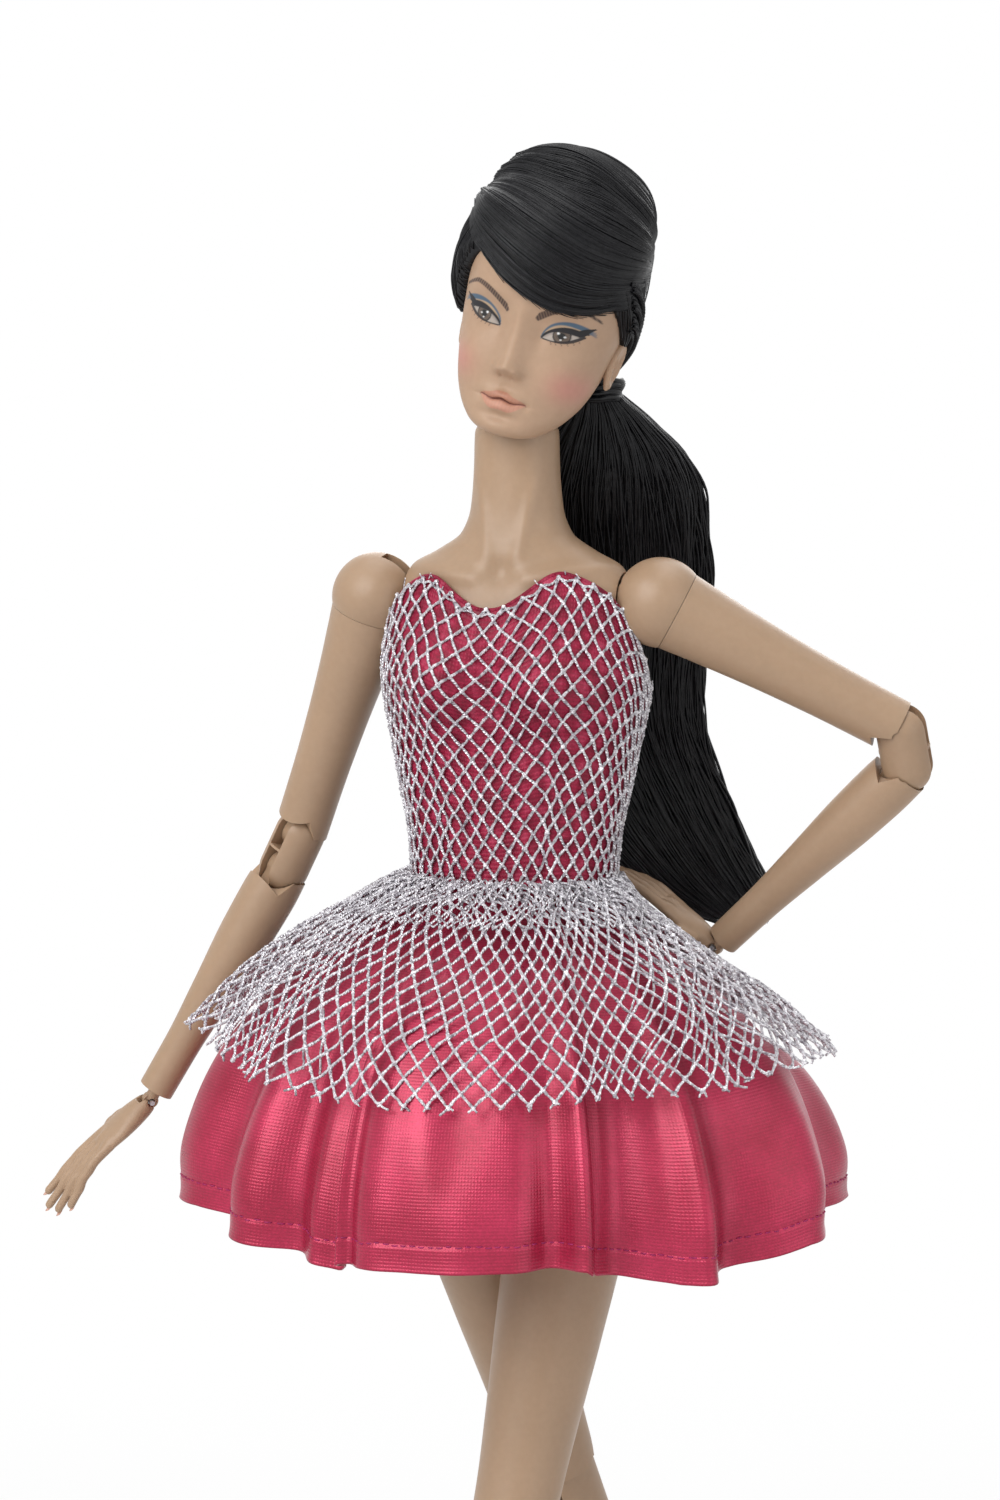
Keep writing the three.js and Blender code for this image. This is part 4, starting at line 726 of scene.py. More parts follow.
def build_hand(name, side):
    matrix = F[f"{name}_hand"]
    half, thick, length = HAND["half_width"], HAND["half_depth"], HAND["length"]
    a = circle(40)
    palm = np.sin(a) < 0
    places = np.linspace(0.02, 1.04, 30)
    _, width, depth = smooth_rows(PALM_ROWS, places)
    rings = []
    for n, v in enumerate(places):
        x, y = np.cos(a) * (width[n] * half), np.sin(a) * (depth[n] * thick)
        knuckles = 0.22 * np.cos(x / half * 3 * math.pi) * step(np.array(v), 0.72, 0.95)
        y = np.where(np.sin(a) > 0, y + knuckles, y)
        y = np.where(palm, y + 0.35 * bump(x, 1.6) * bump(v - 0.55, 0.25), y)
        y = y - 0.5 * bump(x + side * 2.2, 1.3) * bump(v - 0.42, 0.22) * palm
        rings.append(np.stack([x, y, np.full(40, -v * length)], -1))
    ob = solid(f"{name}_hand_moulded", rings, matrix)
    # the hanging right hand holds its fingers together
    closed = 0.35 if side < 0 else 1.0
    digits = []
    for across, share, fan, curl in FINGERS:
        root = (side * across * half, 0, -length * 0.9)
        digits.append((share * HAND["finger"] + 0.45, HAND["finger_radius"], curl, root,
                       -side * fan * closed))
    root = (-side * half * 0.62, -thick * 0.3, -length * 0.27)
    digits.append((HAND["thumb"] + 0.5, HAND["thumb_radius"], HAND["thumb_curl"], root,
                   side * HAND["thumb_fan"]))
    last = [block_rings(1.9, 40, 3.6, (0, 0, 0.2)), rod_rings(0.75, 3.8, "x", (0, 0, 0), 24)]
    carve(ob, matrix, (), [finger_rings(*digit) for digit in digits], last)
    m = ob.modifiers.new("blend", "REMESH")
    m.mode, m.voxel_size, m.use_smooth_shade = "VOXEL", 0.18 * MM, True
    s = ob.modifiers.new("soft", "SMOOTH")
    s.factor, s.iterations = 0.5, 20
    apply_modifiers(ob)
    finish_plastic(ob, hand_skin, f"{name}_hand", angle=180, bevel=0)
    i, j = np.meshgrid(np.arange(8), np.arange(8), indexing="ij")
    k = np.arange(len(digits))[:, None] * 81 + (i * 9 + j).ravel()
    quads = np.stack([k, k + 1, k + 10, k + 9], -1)
    plate = make(f"{name}_nails", np.vstack([nail_patch(*digit) for digit in digits]), quads, (), matrix)
    t = plate.modifiers.new("thick", "SOLIDIFY")
    t.thickness, t.offset = 0.1 * MM, 0
    dress_up(plate, nail_paint, f"{name}_hand")


def build_arm(name, side):
    kinds = ("shoulder_ball", "upper_arm", "elbow_knuckle", "forearm", "wrist_peg")
    ball, arm, knuckle, fore, peg = (f"{name}_{kind}" for kind in kinds)
    ob = solid(f"{name}_shoulder_cap", ball_points(7.3, (0, 0, 0), 64), F[ball])
    last = []
    for share in np.linspace(0, 1, 7):
        last.append(spun_block(9.3, 3.0, 4.68, turn("y", side * share * 78), (-side * 4.65, 0, 0)))
    last += [rod_rings(2.7, 3, "y", (0, 0, 0), 32), rod_rings(1.2, 10.6, "y", (0, 0, 0), 24)]
    post = [rod_rings(2.2, 6, "z", (0, 0, -5), 32)]
    carve(ob, F[ball], [block_rings(40, 40, 40, (0, 0, -23.0))], post, last)
    finish_plastic(ob, skin, ball, bevel=0.1)

    ob = solid(f"{name}_upper_arm_shell", limb_rings(6.6, UPPER_ARM, UPPER_ARM_ROWS, -3.08), F[arm])
    carve(ob, F[arm], [rod_rings(2.5, 12.6, "z", (0, 0, -3.3), 32)])
    finish_plastic(knuckle_end(ob, F[arm], ELBOW, -UPPER_ARM - 3.3, 1), skin, arm)
    finish_plastic(knuckle_body(f"{name}_elbow_shell", F[knuckle], ELBOW), joint_skin, knuckle)

    ob = solid(f"{name}_forearm_shell", limb_rings(4.75, FOREARM, FOREARM_ROWS), F[fore])
    carve(ob, F[fore], [rod_rings(1.4, 9.8, "z", (0, 0, -FOREARM), 24)])
    finish_plastic(knuckle_end(ob, F[fore], ELBOW, 0, -1), skin, fore)

    ob = solid(f"{name}_wrist_stem", rod_rings(1.1, 6.7, "z", (0, 0, 3.35), 32, 0.15), F[peg])
    eye = [rod_rings(1.3, 1.3, "x", (0, 0, 0), 32)]
    carve(ob, F[peg], (), eye, [rod_rings(0.6, 40, "x", (0, 0, 0), 24)])
    finish_plastic(ob, joint_skin, peg, bevel=0.05)
    build_hand(name, side)


def build_leg(name, side):
    thigh, knuckle, shin = (f"{name}_{kind}" for kind in ("thigh", "knee_knuckle", "shin"))
    ob = solid(f"{name}_thigh_shell", limb_rings(10.3, THIGH, THIGH_ROWS, 0, 60, 64), F[thigh])
    last = [ball_points(3.7, (0, 0, 0), 32)]
    for degrees in (-22, 4, 30):
        last.append(spun_block(12.4, 7.4, 7.4, turn("y", side * degrees), (-side * 6.2, 0, 0)))
    last.append(rod_rings(1.5, 14, "y", (0, 0, 0), 24))
    carve(ob, F[thigh], (), [ball_points(10.4, (0, 0, 0), 64)], last)
    finish_plastic(knuckle_end(ob, F[thigh], KNEE, -THIGH, 1), skin, thigh)
    finish_plastic(knuckle_body(f"{name}_knee_shell", F[knuckle], KNEE), joint_skin, knuckle)

    ob = solid(f"{name}_shin_shell", limb_rings(7.8, SHIN, SHIN_ROWS, 0, 60, 64), F[shin])
    _, drop, reach, width, depth = smooth_rows(FOOT_ROWS, np.linspace(0, 1, 24))
    foot = []
    for n in range(24):
        foot.append(oval(circle(40), width[n] * 4.6, depth[n] * 4.6, -SHIN - drop[n] * 22, -reach[n] * 18))
    sole = np.array(ball_points(1, (0, 0, 0), 32)) * (4.6, 9, 2.4) + (0, -20.7, -SHIN - 19.7)
    adds = [foot, sole, np.array(ball_points(3.68, (0, 0.92, -SHIN - 4.4), 32))]
    for x, y, r in TOES:
        toe = np.array(ball_points(1, (0, 0, 0), 24)) * (r * 0.92, r * 2.1, r * 0.95)
        adds.append(toe + (-side * x, y + 0.5, -SHIN - 20.3))
    carve(ob, F[shin], (), adds, [block_rings(60, 120, 60, (0, 0, -SHIN - 22 + 0.5 - 30))])
    finish_plastic(knuckle_end(ob, F[shin], KNEE, 0, -1), skin, shin)


build_torso()

for name, (side, _) in ARMS.items():
    build_arm(name, side)
for name, (side, _) in LEGS.items():
    build_leg(name, side)


# Head and painted face
HEAD_H, HEAD_W, HEAD_D, HEAD_FWD = 46, 12.4, 14, 3.6
CHIN = 0.126 * HEAD_H
HEAD_ROWS = [
    (0, 0.1, 0.48, -0.3), (0.012, 0.33, 0.57, -0.08), (0.05, 0.52, 0.62, 0.14), (0.11, 0.68, 0.635, 0.36),
    (0.18, 0.795, 0.635, 0.58), (0.27, 0.88, 0.645, 0.78), (0.36, 0.945, 0.66, 0.92),
    (0.45, 0.985, 0.69, 1.01),
    (0.54, 1, 0.755, 1.07), (0.63, 1.01, 0.82, 1.09), (0.72, 0.99, 0.85, 1.06), (0.8, 0.92, 0.8, 0.97),
    (0.87, 0.79, 0.67, 0.81), (0.93, 0.6, 0.49, 0.61), (0.97, 0.4, 0.31, 0.4), (1, 0.1, 0.06, 0.1),
]
EYE = (6.7, 14.4)
MOUTH = 2.2
HEAD_WIDE = 13.2
CHIN_LIFT = 2.0
HEAD_SQUARE = 0.8
# Swells and dips of the face: height, middle to the side and up, half width and half height, in millimetres
FACE_SWELLS = [
    (-1.5, 6.7, 14.6, 4.3, 3.0), (0.95, 6.7, 14.4, 2.7, 1.75), (0.5, 6.5, 18.9, 4.4, 1.6),
    (-0.5, 3.6, 14.0, 1.1, 2.2),
    (0.8, 1.65, 7.0, 0.85, 1.0), (0.45, 0, 7.7, 1.15, 1.2), (-0.35, 0.95, 6.1, 0.4, 0.4),
    (1.1, 0, 1.2, 2.5, 0.95),
    (-0.3, 0, 4.2, 0.7, 0.9), (-0.35, 3.9, 2.2, 0.8, 0.9), (-0.55, 0, -0.5, 3.0, 0.9),
    (0.75, 0, -2.2, 2.9, 1.7),
    (0.75, 8.2, 7.8, 3.0, 3.1), (-0.45, 6.8, 1.8, 2.3, 2.6),
]
HEAD_SEEN = move(1.1, 0, 0.2) @ HEAD @ turn("z", 4)


def head_surface(angle, share, out=0.0, face=True):
    """Points on the head in its own frame; angle -90 degrees is its front."""
    angle, share = np.broadcast_arrays(np.asarray(angle, float), np.asarray(share, float))
    _, width, front, back = smooth_rows(HEAD_ROWS, share.ravel())
    width, front, back = (a.reshape(share.shape) for a in (width, front, back))
    z = share * HEAD_H - CHIN + CHIN_LIFT * np.clip(1 - share / 0.42, 0, 1) ** 1.3
    fy, by = -front * HEAD_D, back * HEAD_D
    c, s = np.cos(angle), np.sin(angle)
    x = np.sign(c) * np.abs(c) ** HEAD_SQUARE * (width * HEAD_WIDE + out)
    y = (fy + by) / 2 - HEAD_FWD + s * ((by - fy) / 2 + out)
    z = z + np.where(share > 0.5, out * (share - 0.5) * 2, -out * (0.5 - share))
    if face:
        y = y - np.clip(-s, 0, 1) ** 0.5 * face_relief(x, z)
    return np.stack([x, y, z], -1)


def face_relief(x, z):
    """How far the face stands out of the plain head, in millimetres."""
    side = np.abs(x)
    r = sum(h * bump(side - a, wide) * bump(z - c, tall) for h, a, c, wide, tall in FACE_SWELLS)
    along = np.clip((17.5 - z) / 10.2, 0, 1)
    ridge = (0.75 + 1.75 * along ** 1.5) * between(z, 5.4, 7.9, 15.5, 20.0)
    r += ridge * bump(side, 1.45 + 0.75 * along)
    r += 0.95 * bump(side, 3.0) * bump(z - MOUTH - 0.85 + 0.05 * side, 0.85)
    r -= 0.55 * bump(side, 3.3) * bump(z - MOUTH - lip_line(x), 0.24)
    return r


def lip_line(x):
    return (0.16 * np.cos(np.clip(x / 3.9, -1, 1) * 2.2 * math.pi) * (np.abs(x) < 3.9)
            + 0.08 - 0.03 * np.abs(x))


def lay(colour, over, weight):
    return colour + (np.array(over) - colour) * np.clip(weight, 0, 1)[:, None]


def band(distance, half, soft=0.07):
    """1 inside a painted line of that half width, fading over soft."""
    return 1 - step(np.abs(distance), half - soft, half + soft)


def paint_face(p):
    """The colour of each point of the head, from curves drawn in the face's own millimetres."""
    x, y, z = p.T
    n = len(x)
    colour = np.tile(np.array(FACE), (n, 1))
    front = step(-y, 1.0, 6.0)
    side = np.abs(x)
    ex, ez = EYE
    # painted shade: the face colour darkened over each eye socket
    colour = lay(colour, (0.40, 0.262, 0.17), 0.55 * bump(side - ex, 4.0) * bump(z - ez - 1.4, 2.6) * front)
    # painted shade down both sides of the nose
    colour = lay(colour, (0.40, 0.26, 0.175), 0.28 * bump(side - 2.8, 1.0) * bump(z - 11.5, 4.2) * front)
    colour = lay(colour, (0.60, 0.225, 0.2), 0.55 * bump(side - 9.4, 2.9) * bump(z - 6.4, 2.6) * front)
    # painted shade in the nostrils
    colour = lay(colour, (0.38, 0.22, 0.15), 0.35 * bump(side - 1.0, 0.4) * bump(z - 6.1, 0.34) * front)
    # lips
    m = MOUTH
    half = 3.95
    t = np.clip(side / half, 0, 1)
    line = m + lip_line(x)
    upper = line + 1.55 * (1 - t ** 1.7) * (1 - 0.22 * bump(x, 0.75)) + 0.02
    lower = line - 1.75 * (1 - t ** 2.0) ** 0.8
    inside = between(z, lower - 0.06, lower + 0.1, upper - 0.08, upper + 0.08) * (side < half) * front
    # the upper lip takes a darker copy of the lip colour, as painted shade on the lip that faces down
    lipc = np.where((z > line)[:, None], np.array((0.45, 0.205, 0.135)), np.array((0.55, 0.27, 0.19)))
    lipc = lipc * (1 - 0.18 * bump(np.sin(x * 5.2), 0.35) * 0.5)[:, None]
    colour = colour + (lipc - colour) * (0.9 * inside)[:, None]
    # painted shade: a dark line in the parting between the lips
    parting_shade = (band(z - line, 0.12 + 0.08 * bump(x, 1.2), 0.08)
             * (1 - step(side, half - 0.2, half + 0.25)) * front)
    colour = lay(colour, (0.13, 0.035, 0.025), 0.85 * parting_shade)
    for sgn in (1, -1):
        a = math.radians(11)
        dx, dz = x * sgn - ex, z - ez
        u = (dx * math.cos(a) + dz * math.sin(a)) * 0.93
        v = -dx * math.sin(a) + dz * math.cos(a)
        near = front * (x * sgn > 0)
        # lid margins as curves over u
        s = np.clip((u + 2.95) / 5.9, 0, 1)
        top = -0.3 + 0.5 * s + 1.16 * np.sin(math.pi * s ** 0.86) ** 0.8
        low = -0.3 + 0.5 * s - 0.78 * np.sin(math.pi * s ** 1.15) ** 0.85
        open_eye = (between(v, low - 0.03, low + 0.05, top - 0.05, top + 0.03)
                    * ((u > -2.95) & (u < 2.95)) * near)
        white = np.tile(np.array((0.40, 0.35, 0.31)), (n, 1))
        # painted shadow of the upper lid across the top of the eye white
        white = lay(white, (0.22, 0.19, 0.18), 0.7 * step(v, top - 0.75, top - 0.1))
        r = np.hypot(u - 0.05, v - 0.2)
        ring = np.arctan2(v - 0.2, u - 0.05)
        iris = (np.array((0.115, 0.085, 0.065))
                * (0.75 + 0.5 * np.cos(ring * 17) ** 2 * step(r, 0.4, 1.0))[:, None])
        eye = lay(white, (0.015, 0.012, 0.012), 1 - step(r, 1.26, 1.36))
        eye = eye + (iris - eye) * (1 - step(r, 1.06, 1.16))[:, None]
        eye = lay(eye, (0.008, 0.008, 0.008), 1 - step(r, 0.5, 0.58))
        # painted highlights: white dots of reflected light on each eye
        for gx, gz, gr in ((-0.42, 0.62, 0.2), (0.5, 0.05, 0.15), (-0.1, -0.42, 0.12)):
            eye = lay(eye, (0.75, 0.75, 0.75), 1 - step(np.hypot(u - gx, v - gz), gr - 0.05, gr + 0.05))
        colour = colour + (eye - colour) * open_eye[:, None]
        # gold lid, then the blue crease above it
        s2 = np.clip((u + 3.0) / 7.2, 0, 1)
        crease = -0.2 + 0.75 * s2 + 2.1 * np.sin(math.pi * s2 ** 0.8) ** 0.75
        lid = between(v, top, top + 0.15, crease - 0.15, crease) * ((u > -2.9) & (u < 3.4)) * near
        colour = lay(colour, (0.42, 0.31, 0.2), 0.6 * lid)
        inblue = ((u > -3.1) & (u < 4.4)) * near
        wide = 0.22 + 0.24 * step(s2, 0.3, 0.8)
        colour = lay(colour, (0.035, 0.095, 0.16),
                     0.92 * band(v - crease, wide, 0.14) * inblue * (1 - 0.5 * step(u, 3.6, 4.4)))
        # upper liner with its wing, and the thinner lower one
        wing = (u > -3.0) & (u < 4.45)
        wing_top = np.where(u < 2.4, top, 0.55 + 0.42 * (u - 2.4))
        thick = 0.24 + 0.3 * step(u, -2.0, 2.0) - 0.42 * step(u, 2.8, 4.5)
        colour = lay(colour, (0.008, 0.007, 0.009), band(v - wing_top - 0.1, thick, 0.07) * wing * near)
        lower_wing = (u > -2.9) & (u < 3.1)
        colour = lay(colour, (0.012, 0.01, 0.012),
                     0.95 * band(v - low + 0.03, 0.11 + 0.16 * step(u, -1.5, 2.0), 0.06) * lower_wing * near)
        fill = (u > 2.2) & (u < 3.6) & (v > 0.1 + 0.3 * (u - 2.2)) & (v < 0.75 + 0.35 * (u - 2.2))
        colour = lay(colour, (0.008, 0.007, 0.009), fill * near * 0.95)
        for lash in (-1.6, -0.9, -0.1, 0.7, 1.5, 2.2):
            s3 = (lash + 2.95) / 5.9
            foot = -0.3 + 0.5 * s3 - 0.78 * math.sin(math.pi * s3 ** 1.15) ** 0.85
            d = u - lash - 0.28 * (foot - v)
            colour = lay(colour, (0.03, 0.02, 0.02),
                         0.75 * band(d, 0.055, 0.05) * (v < foot) * (v > foot - 0.62) * near)
        # eyebrow
        q = np.clip((dx + 4.3) / 9.2, 0, 1)
        arch = (2.1 + 3.0 * np.sin(math.pi * 0.5 * np.clip(q / 0.7, 0, 1))
                - 1.5 * np.clip((q - 0.7) / 0.3, 0, 1) ** 1.3)
        thick = 0.62 * (1 - 0.76 * q) * step(dx, -4.5, -3.9) + 0.08
        hairs = 0.82 + 0.18 * np.sin((dx * 3.2 + dz * 1.2) * 4.0)
        colour = lay(colour, (0.022, 0.009, 0.01),
                     0.97 * band(dz - arch, thick, 0.12) * ((dx > -4.5) & (dx < 4.95)) * near * hairs)
    # the hole of a pierced ear, as a dark dot of painted shade
    for sgn in (1, -1):
        d = np.hypot(y + 0.3, z - 8.4)
        colour = lay(colour, (0.12, 0.07, 0.05), (1 - step(d, 0.16, 0.3)) * (x * sgn > 11.5) * 0.9)
    return colour


def ear_rings(side, out=0.0):
    """An ear with its rolled rim, hollow and lobe, flat against the head."""
    rings = []
    for n in range(29):
        a = math.pi * (n + 0.15) / 28.3
        b = circle(36)
        h = math.cos(a)
        r = math.sin(a)
        long = 4.25 + out
        lobe = 1 - 0.28 * step(np.array(-h), 0.2, 0.9)
        yy = np.cos(b) * r * (2.35 * lobe + out) + 0.25 * h
        xx = np.sin(b) * r * (1.5 * (0.75 + 0.25 * h) + out)
        outer = np.sin(b) > 0
        e = np.hypot(yy / 2.35, h)
        hollow = -0.85 * bump(e - 0.42, 0.3) * outer * bump(h + 0.1, 0.75)
        rim = 0.28 * bump(e - 0.85, 0.14) * outer
        xx = xx + hollow + rim
        rings.append(np.stack([side * xx, yy, np.full(36, h * long)], -1))
    spin = turn("x", -12)[:3, :3]
    return np.array(rings) @ spin.T + (side * HEAD_WIDE * 0.955, 0.85, 0.292 * HEAD_H - CHIN + 3.1)


def build_head():
    t = np.arange(300) / 300 * 2 * math.pi - math.pi
    angles = -math.pi / 2 + t - 0.58 * np.sin(t)
    shares = np.r_[np.linspace(0, 0.6, 250), np.linspace(0.606, 1, 60)]
    head = solid("head_shell", head_surface(angles[None, :], shares[:, None]), HEAD_SEEN)
    carve(head, HEAD_SEEN, (), [ear_rings(1), ear_rings(-1)])
    carve(head, HEAD, neck_room())
    me = head.data
    co = np.empty(len(me.vertices) * 3, np.float32)
    me.vertices.foreach_get("co", co)
    inv = np.linalg.inv(HEAD_SEEN)
    local = (co.reshape(-1, 3) / MM) @ inv[:3, :3].T + inv[:3, 3]
    paint = np.c_[paint_face(local), np.ones(len(local))]
    layer = me.color_attributes.new("paint", "FLOAT_COLOR", "POINT")
    layer.data.foreach_set("color", paint.astype(np.float32).ravel())
    finish_plastic(head, face_vinyl, "head", 50, 0)


def neck_room():
    """The hollow for the neck and the socket that the head turns on."""
    lean = turn("y", -16)[:3, :3]
    taper = [oval(circle(48), r, r, z) @ lean.T for r, z in ((7.4, 0.0), (11.1, -20.0))]
    return [rod_rings(7.4, 10.6, "z", (0, 0, 0), 48), taper, rod_rings(2.1, 20.6, "z", (0, 0, 0), 32)]


build_head()


# Hair
def spline(points, count, axis=0):
    """Catmull-Rom through the points along one axis, at count even places."""
    p = np.moveaxis(np.asarray(points, float), axis, 0)
    p = np.concatenate([[2 * p[0] - p[1]], p, [2 * p[-1] - p[-2]]])
    t = np.linspace(0, len(p) - 3 - 1e-9, count)
    n = t.astype(int)
    f = (t - n).reshape((-1,) + (1,) * (p.ndim - 1))
    a, b, c, d = p[n], p[n + 1], p[n + 2], p[n + 3]
    out = 0.5 * (2 * b + (c - a) * f + (2 * a - 5 * b + 4 * c - d) * f * f + (3 * b - a - 3 * c + d) * f ** 3)
    return np.moveaxis(out, 0, axis)


def sample(grid, q, t):
    """Bilinear places on a grid of points for arrays q and t from 0 to 1."""
    m, n = grid.shape[0] - 1, grid.shape[1] - 1
    a, b = np.clip(q, 0, 1) * m, np.clip(t, 0, 1) * n
    i, j = np.minimum(a.astype(int), m - 1), np.minimum(b.astype(int), n - 1)
    f, g = (a - i)[..., None], (b - j)[..., None]
    return ((grid[i, j] * (1 - f) + grid[i + 1, j] * f) * (1 - g)
            + (grid[i, j + 1] * (1 - f) + grid[i + 1, j + 1] * f) * g)


def hair_piece(name, groups, matrix, nodes=()):
    ob = make(name, *merged([group[:3] for group in groups]), matrix)
    dress_up(ob, hair, "head", nodes)


HEAD_MIDDLE = np.array((0, -0.5, 20.0))
TIE_PLACE = np.array((0.62 * HEAD_W, 0.82 * HEAD_D, 0.235 * HEAD_H - CHIN))
FRINGE = [
    [(-13.6, 6.9, 28.2), (-11.0, 11.4, 25.6), (-6.5, 13.9, 22.6), (-1.2, 15.0, 20.1), (4.1, 14.4, 18.7),
     (8.6, 12.2, 18.8), (12.2, 8.0, 20.2), (13.4, 3.4, 21.4), (12.8, -1.0, 21.5)],
    [(-14.0, 6.5, 30.2), (-10.9, 12.1, 28.4), (-5.5, 15.3, 25.9), (0.5, 16.4, 23.4), (6.2, 15.3, 21.8),
     (10.6, 12.2, 21.9), (13.4, 7.6, 23.0), (14.0, 3.0, 23.6), (13.0, -1.5, 23.6)],
    [(-13.9, 6.0, 32.2), (-10.2, 12.0, 31.6), (-4.3, 15.2, 29.8), (2.0, 16.3, 28.0), (7.8, 14.9, 26.4),
     (12.2, 10.9, 26.0), (14.4, 5.8, 26.2), (14.2, 1.2, 26.0), (12.9, -3.0, 25.4)],
    [(-12.8, 5.6, 33.6), (-8.6, 10.4, 35.0), (-2.6, 13.4, 34.8), (3.8, 14.5, 33.4), (9.4, 12.6, 31.8),
     (13.2, 8.0, 30.4), (14.6, 3.2, 29.4), (13.6, -1.4, 28.0), (12.2, -5.5, 26.5)],
    [(-12.0, 4.8, 36.4), (-7.2, 8.4, 38.8), (-1.0, 10.4, 39.6), (5.0, 10.2, 38.8), (10.0, 7.6, 36.8),
     (13.2, 3.2, 34.2), (13.6, -1.2, 31.6), (12.2, -5.4, 29.0), (11.0, -8.5, 26.5)],
    [(-9.9, 2.8, 39.6), (-5.4, 4.4, 41.8), (0.4, 4.6, 42.8), (6.0, 3.8, 41.9), (10.2, 1.2, 39.7),
     (12.2, -2.6, 36.4), (11.9, -6.6, 32.6), (10.4, -9.8, 29.4), (9.0, -12.0, 26.0)],
    [(-8.6, -1.5, 38.6), (-4.0, -2.0, 41.2), (1.2, -3.0, 42.0), (5.6, -4.4, 41.0), (8.8, -6.6, 38.6),
     (10.0, -9.4, 35.0), (9.2, -12.0, 31.0), (8.0, -13.6, 27.4), (7.0, -14.6, 24.0)],
]


def build_fringe(core_form):
    """The big side-swept fringe with its hollow roll, as a ridged core under laid strands."""
    guides = np.array(FRINGE)
    guides[..., 1] *= -1
    grid = spline(spline(guides, 96, 0), 110, 1)
    away = unit(grid - np.array((0, -1.0, 21)))
    q = np.linspace(0, 1, 96)[:, None]
    t = np.linspace(0, 1, 110)[None, :]
    arc = 0.56 + 0.07 * np.sin(t * 6.5)
    roll = bump(t - 0.24, 0.2)
    shape = 1.3 * bump(q - 0.5, 0.3) * roll
    for height, middle, wide in ((-2.3, arc, 0.05), (1.0, arc + 0.12, 0.06), (-1.0, arc - 0.11, 0.08),
                                 (0.5, 0.24, 0.1)):
        shape = shape + height * bump(q - middle, wide) * roll
    shape = shape - 0.45 * bump(q - 0.16 - 0.05 * t, 0.02) - 0.4 * bump(q - 0.72 + 0.06 * t, 0.018)
    for a, f, ph in ((0.16, 34, 0.3), (0.12, 61, 1.7), (0.08, 117, 4.0), (0.05, 203, 2.2)):
        shape = shape + a * np.sin(q * f + ph + 1.5 * np.sin(t * 3 + ph))
    grid = grid + away * shape[..., None]
    tree = BVHTree.FromPolygons(core_form[0].tolist(), core_form[1].tolist())
    grid = over_cap(grid, tree, 0.3)
    core = loft(np.moveaxis(np.concatenate([grid - away * 0.22, (grid - away * 2.4)[::-1]], 0), 0, 1))
    r = np.random.default_rng(8)
    n, steps = 620, 56
    tt = np.broadcast_to(np.linspace(0, 1, steps)[None, :], (n, steps))
    q0 = (np.arange(n)[:, None] + r.uniform(-0.5, 0.5, (n, 1))) / n
    lane = (r.normal(0, 0.007, (n, 1))
            * np.sin(tt * math.pi * r.uniform(0.6, 2.4, (n, 1)) + r.uniform(0, 6.28, (n, 1))))
    qq = np.clip(q0 + lane, 0, 1)
    paths = sample(grid, qq, tt) + sample(away, qq, tt) * (r.uniform(-0.12, 0.1, (n, 1)) + 0 * tt)[..., None]
    radius = 0.13 * r.uniform(0.7, 1.25, (n, 1)) * (1 - 0.5 * np.abs(2 * tt - 1) ** 4)
    hair_piece("fringe_wave", [core, tubes(paths, radius, 4)], HEAD_SEEN, ("fringe",))
    r = np.random.default_rng(21)
    loose = []
    for _ in range(46):
        t0 = r.uniform(0.02, 0.8)
        tt = np.linspace(t0, min(1, t0 + r.uniform(0.1, 0.3)), 20)
        base = sample(grid, np.full(20, 0.01), tt)
        drop = np.linspace(0, 1, 20) ** 1.5 * r.uniform(0.1, 0.9)
        loose.append(base + np.stack([0 * drop, 0.25 * np.ones(20), -drop], -1))
    hair_piece("loose_hairs", [tubes(np.array(loose), 0.05, 4)], HEAD_SEEN)


def combed(points, quads, count, steps, seed):
    """Strands combed over the cap to the tie: each lies on a great circle that starts at the tie."""
    tree = BVHTree.FromPolygons(points.tolist(), quads.tolist())
    centre = HEAD_MIDDLE
    gather = unit(TIE_PLACE - centre)
    side = unit(np.cross(gather, (0, 0, 1)))
    up = np.cross(side, gather)
    r = np.random.default_rng(seed)
    reach = np.linspace(0.16, 2.75, 64)
    paths, radii = [], []
    for k in range(count):
        way_round = 2 * math.pi * (k + r.uniform(-0.5, 0.5)) / count
        way_round = way_round + r.normal(0, 0.012) * np.sin(reach * r.uniform(1, 4) + r.uniform(0, 6.28))
        around = np.cos(way_round)[:, None] * side + np.sin(way_round)[:, None] * up
        ways = np.cos(reach)[:, None] * gather + np.sin(reach)[:, None] * around
        hits = []
        for way in ways:
            place = tree.ray_cast(centre + way * 60, -way)[0]
            if place is None:
                if len(hits) > 2:
                    break
                place = centre + way * 17
            hits.append(np.array(place))
        if len(hits) < 9:
            continue
        laid = np.array(hits)
        far = reach[:len(laid)]
        at = way_round[0]
        lock = 0.2 * np.sin(24 * at + 1.2 * far) + 0.12 * np.sin(41 * at - far) + 0.06 * np.sin(83 * at)
        laid = laid + ways[:len(laid)] * (0.12 + lock + r.uniform(-0.06, 0.08))[:, None]
        close = TIE_PLACE + unit(laid - TIE_PLACE) * 2.7
        pull = (1 - step(far, 0.2, 0.5))[:, None]
        laid = laid * (1 - pull) + close * pull
        spread = np.linspace(0, len(laid) - 1, steps)
        paths.append(np.stack([np.interp(spread, np.arange(len(laid)), laid[:, i]) for i in range(3)], -1))
        radii.append(0.17 * r.uniform(0.75, 1.2) * (0.75 + 0.25 * step(spread / len(laid), 0, 0.2)))
    return np.array(paths), np.array(radii)


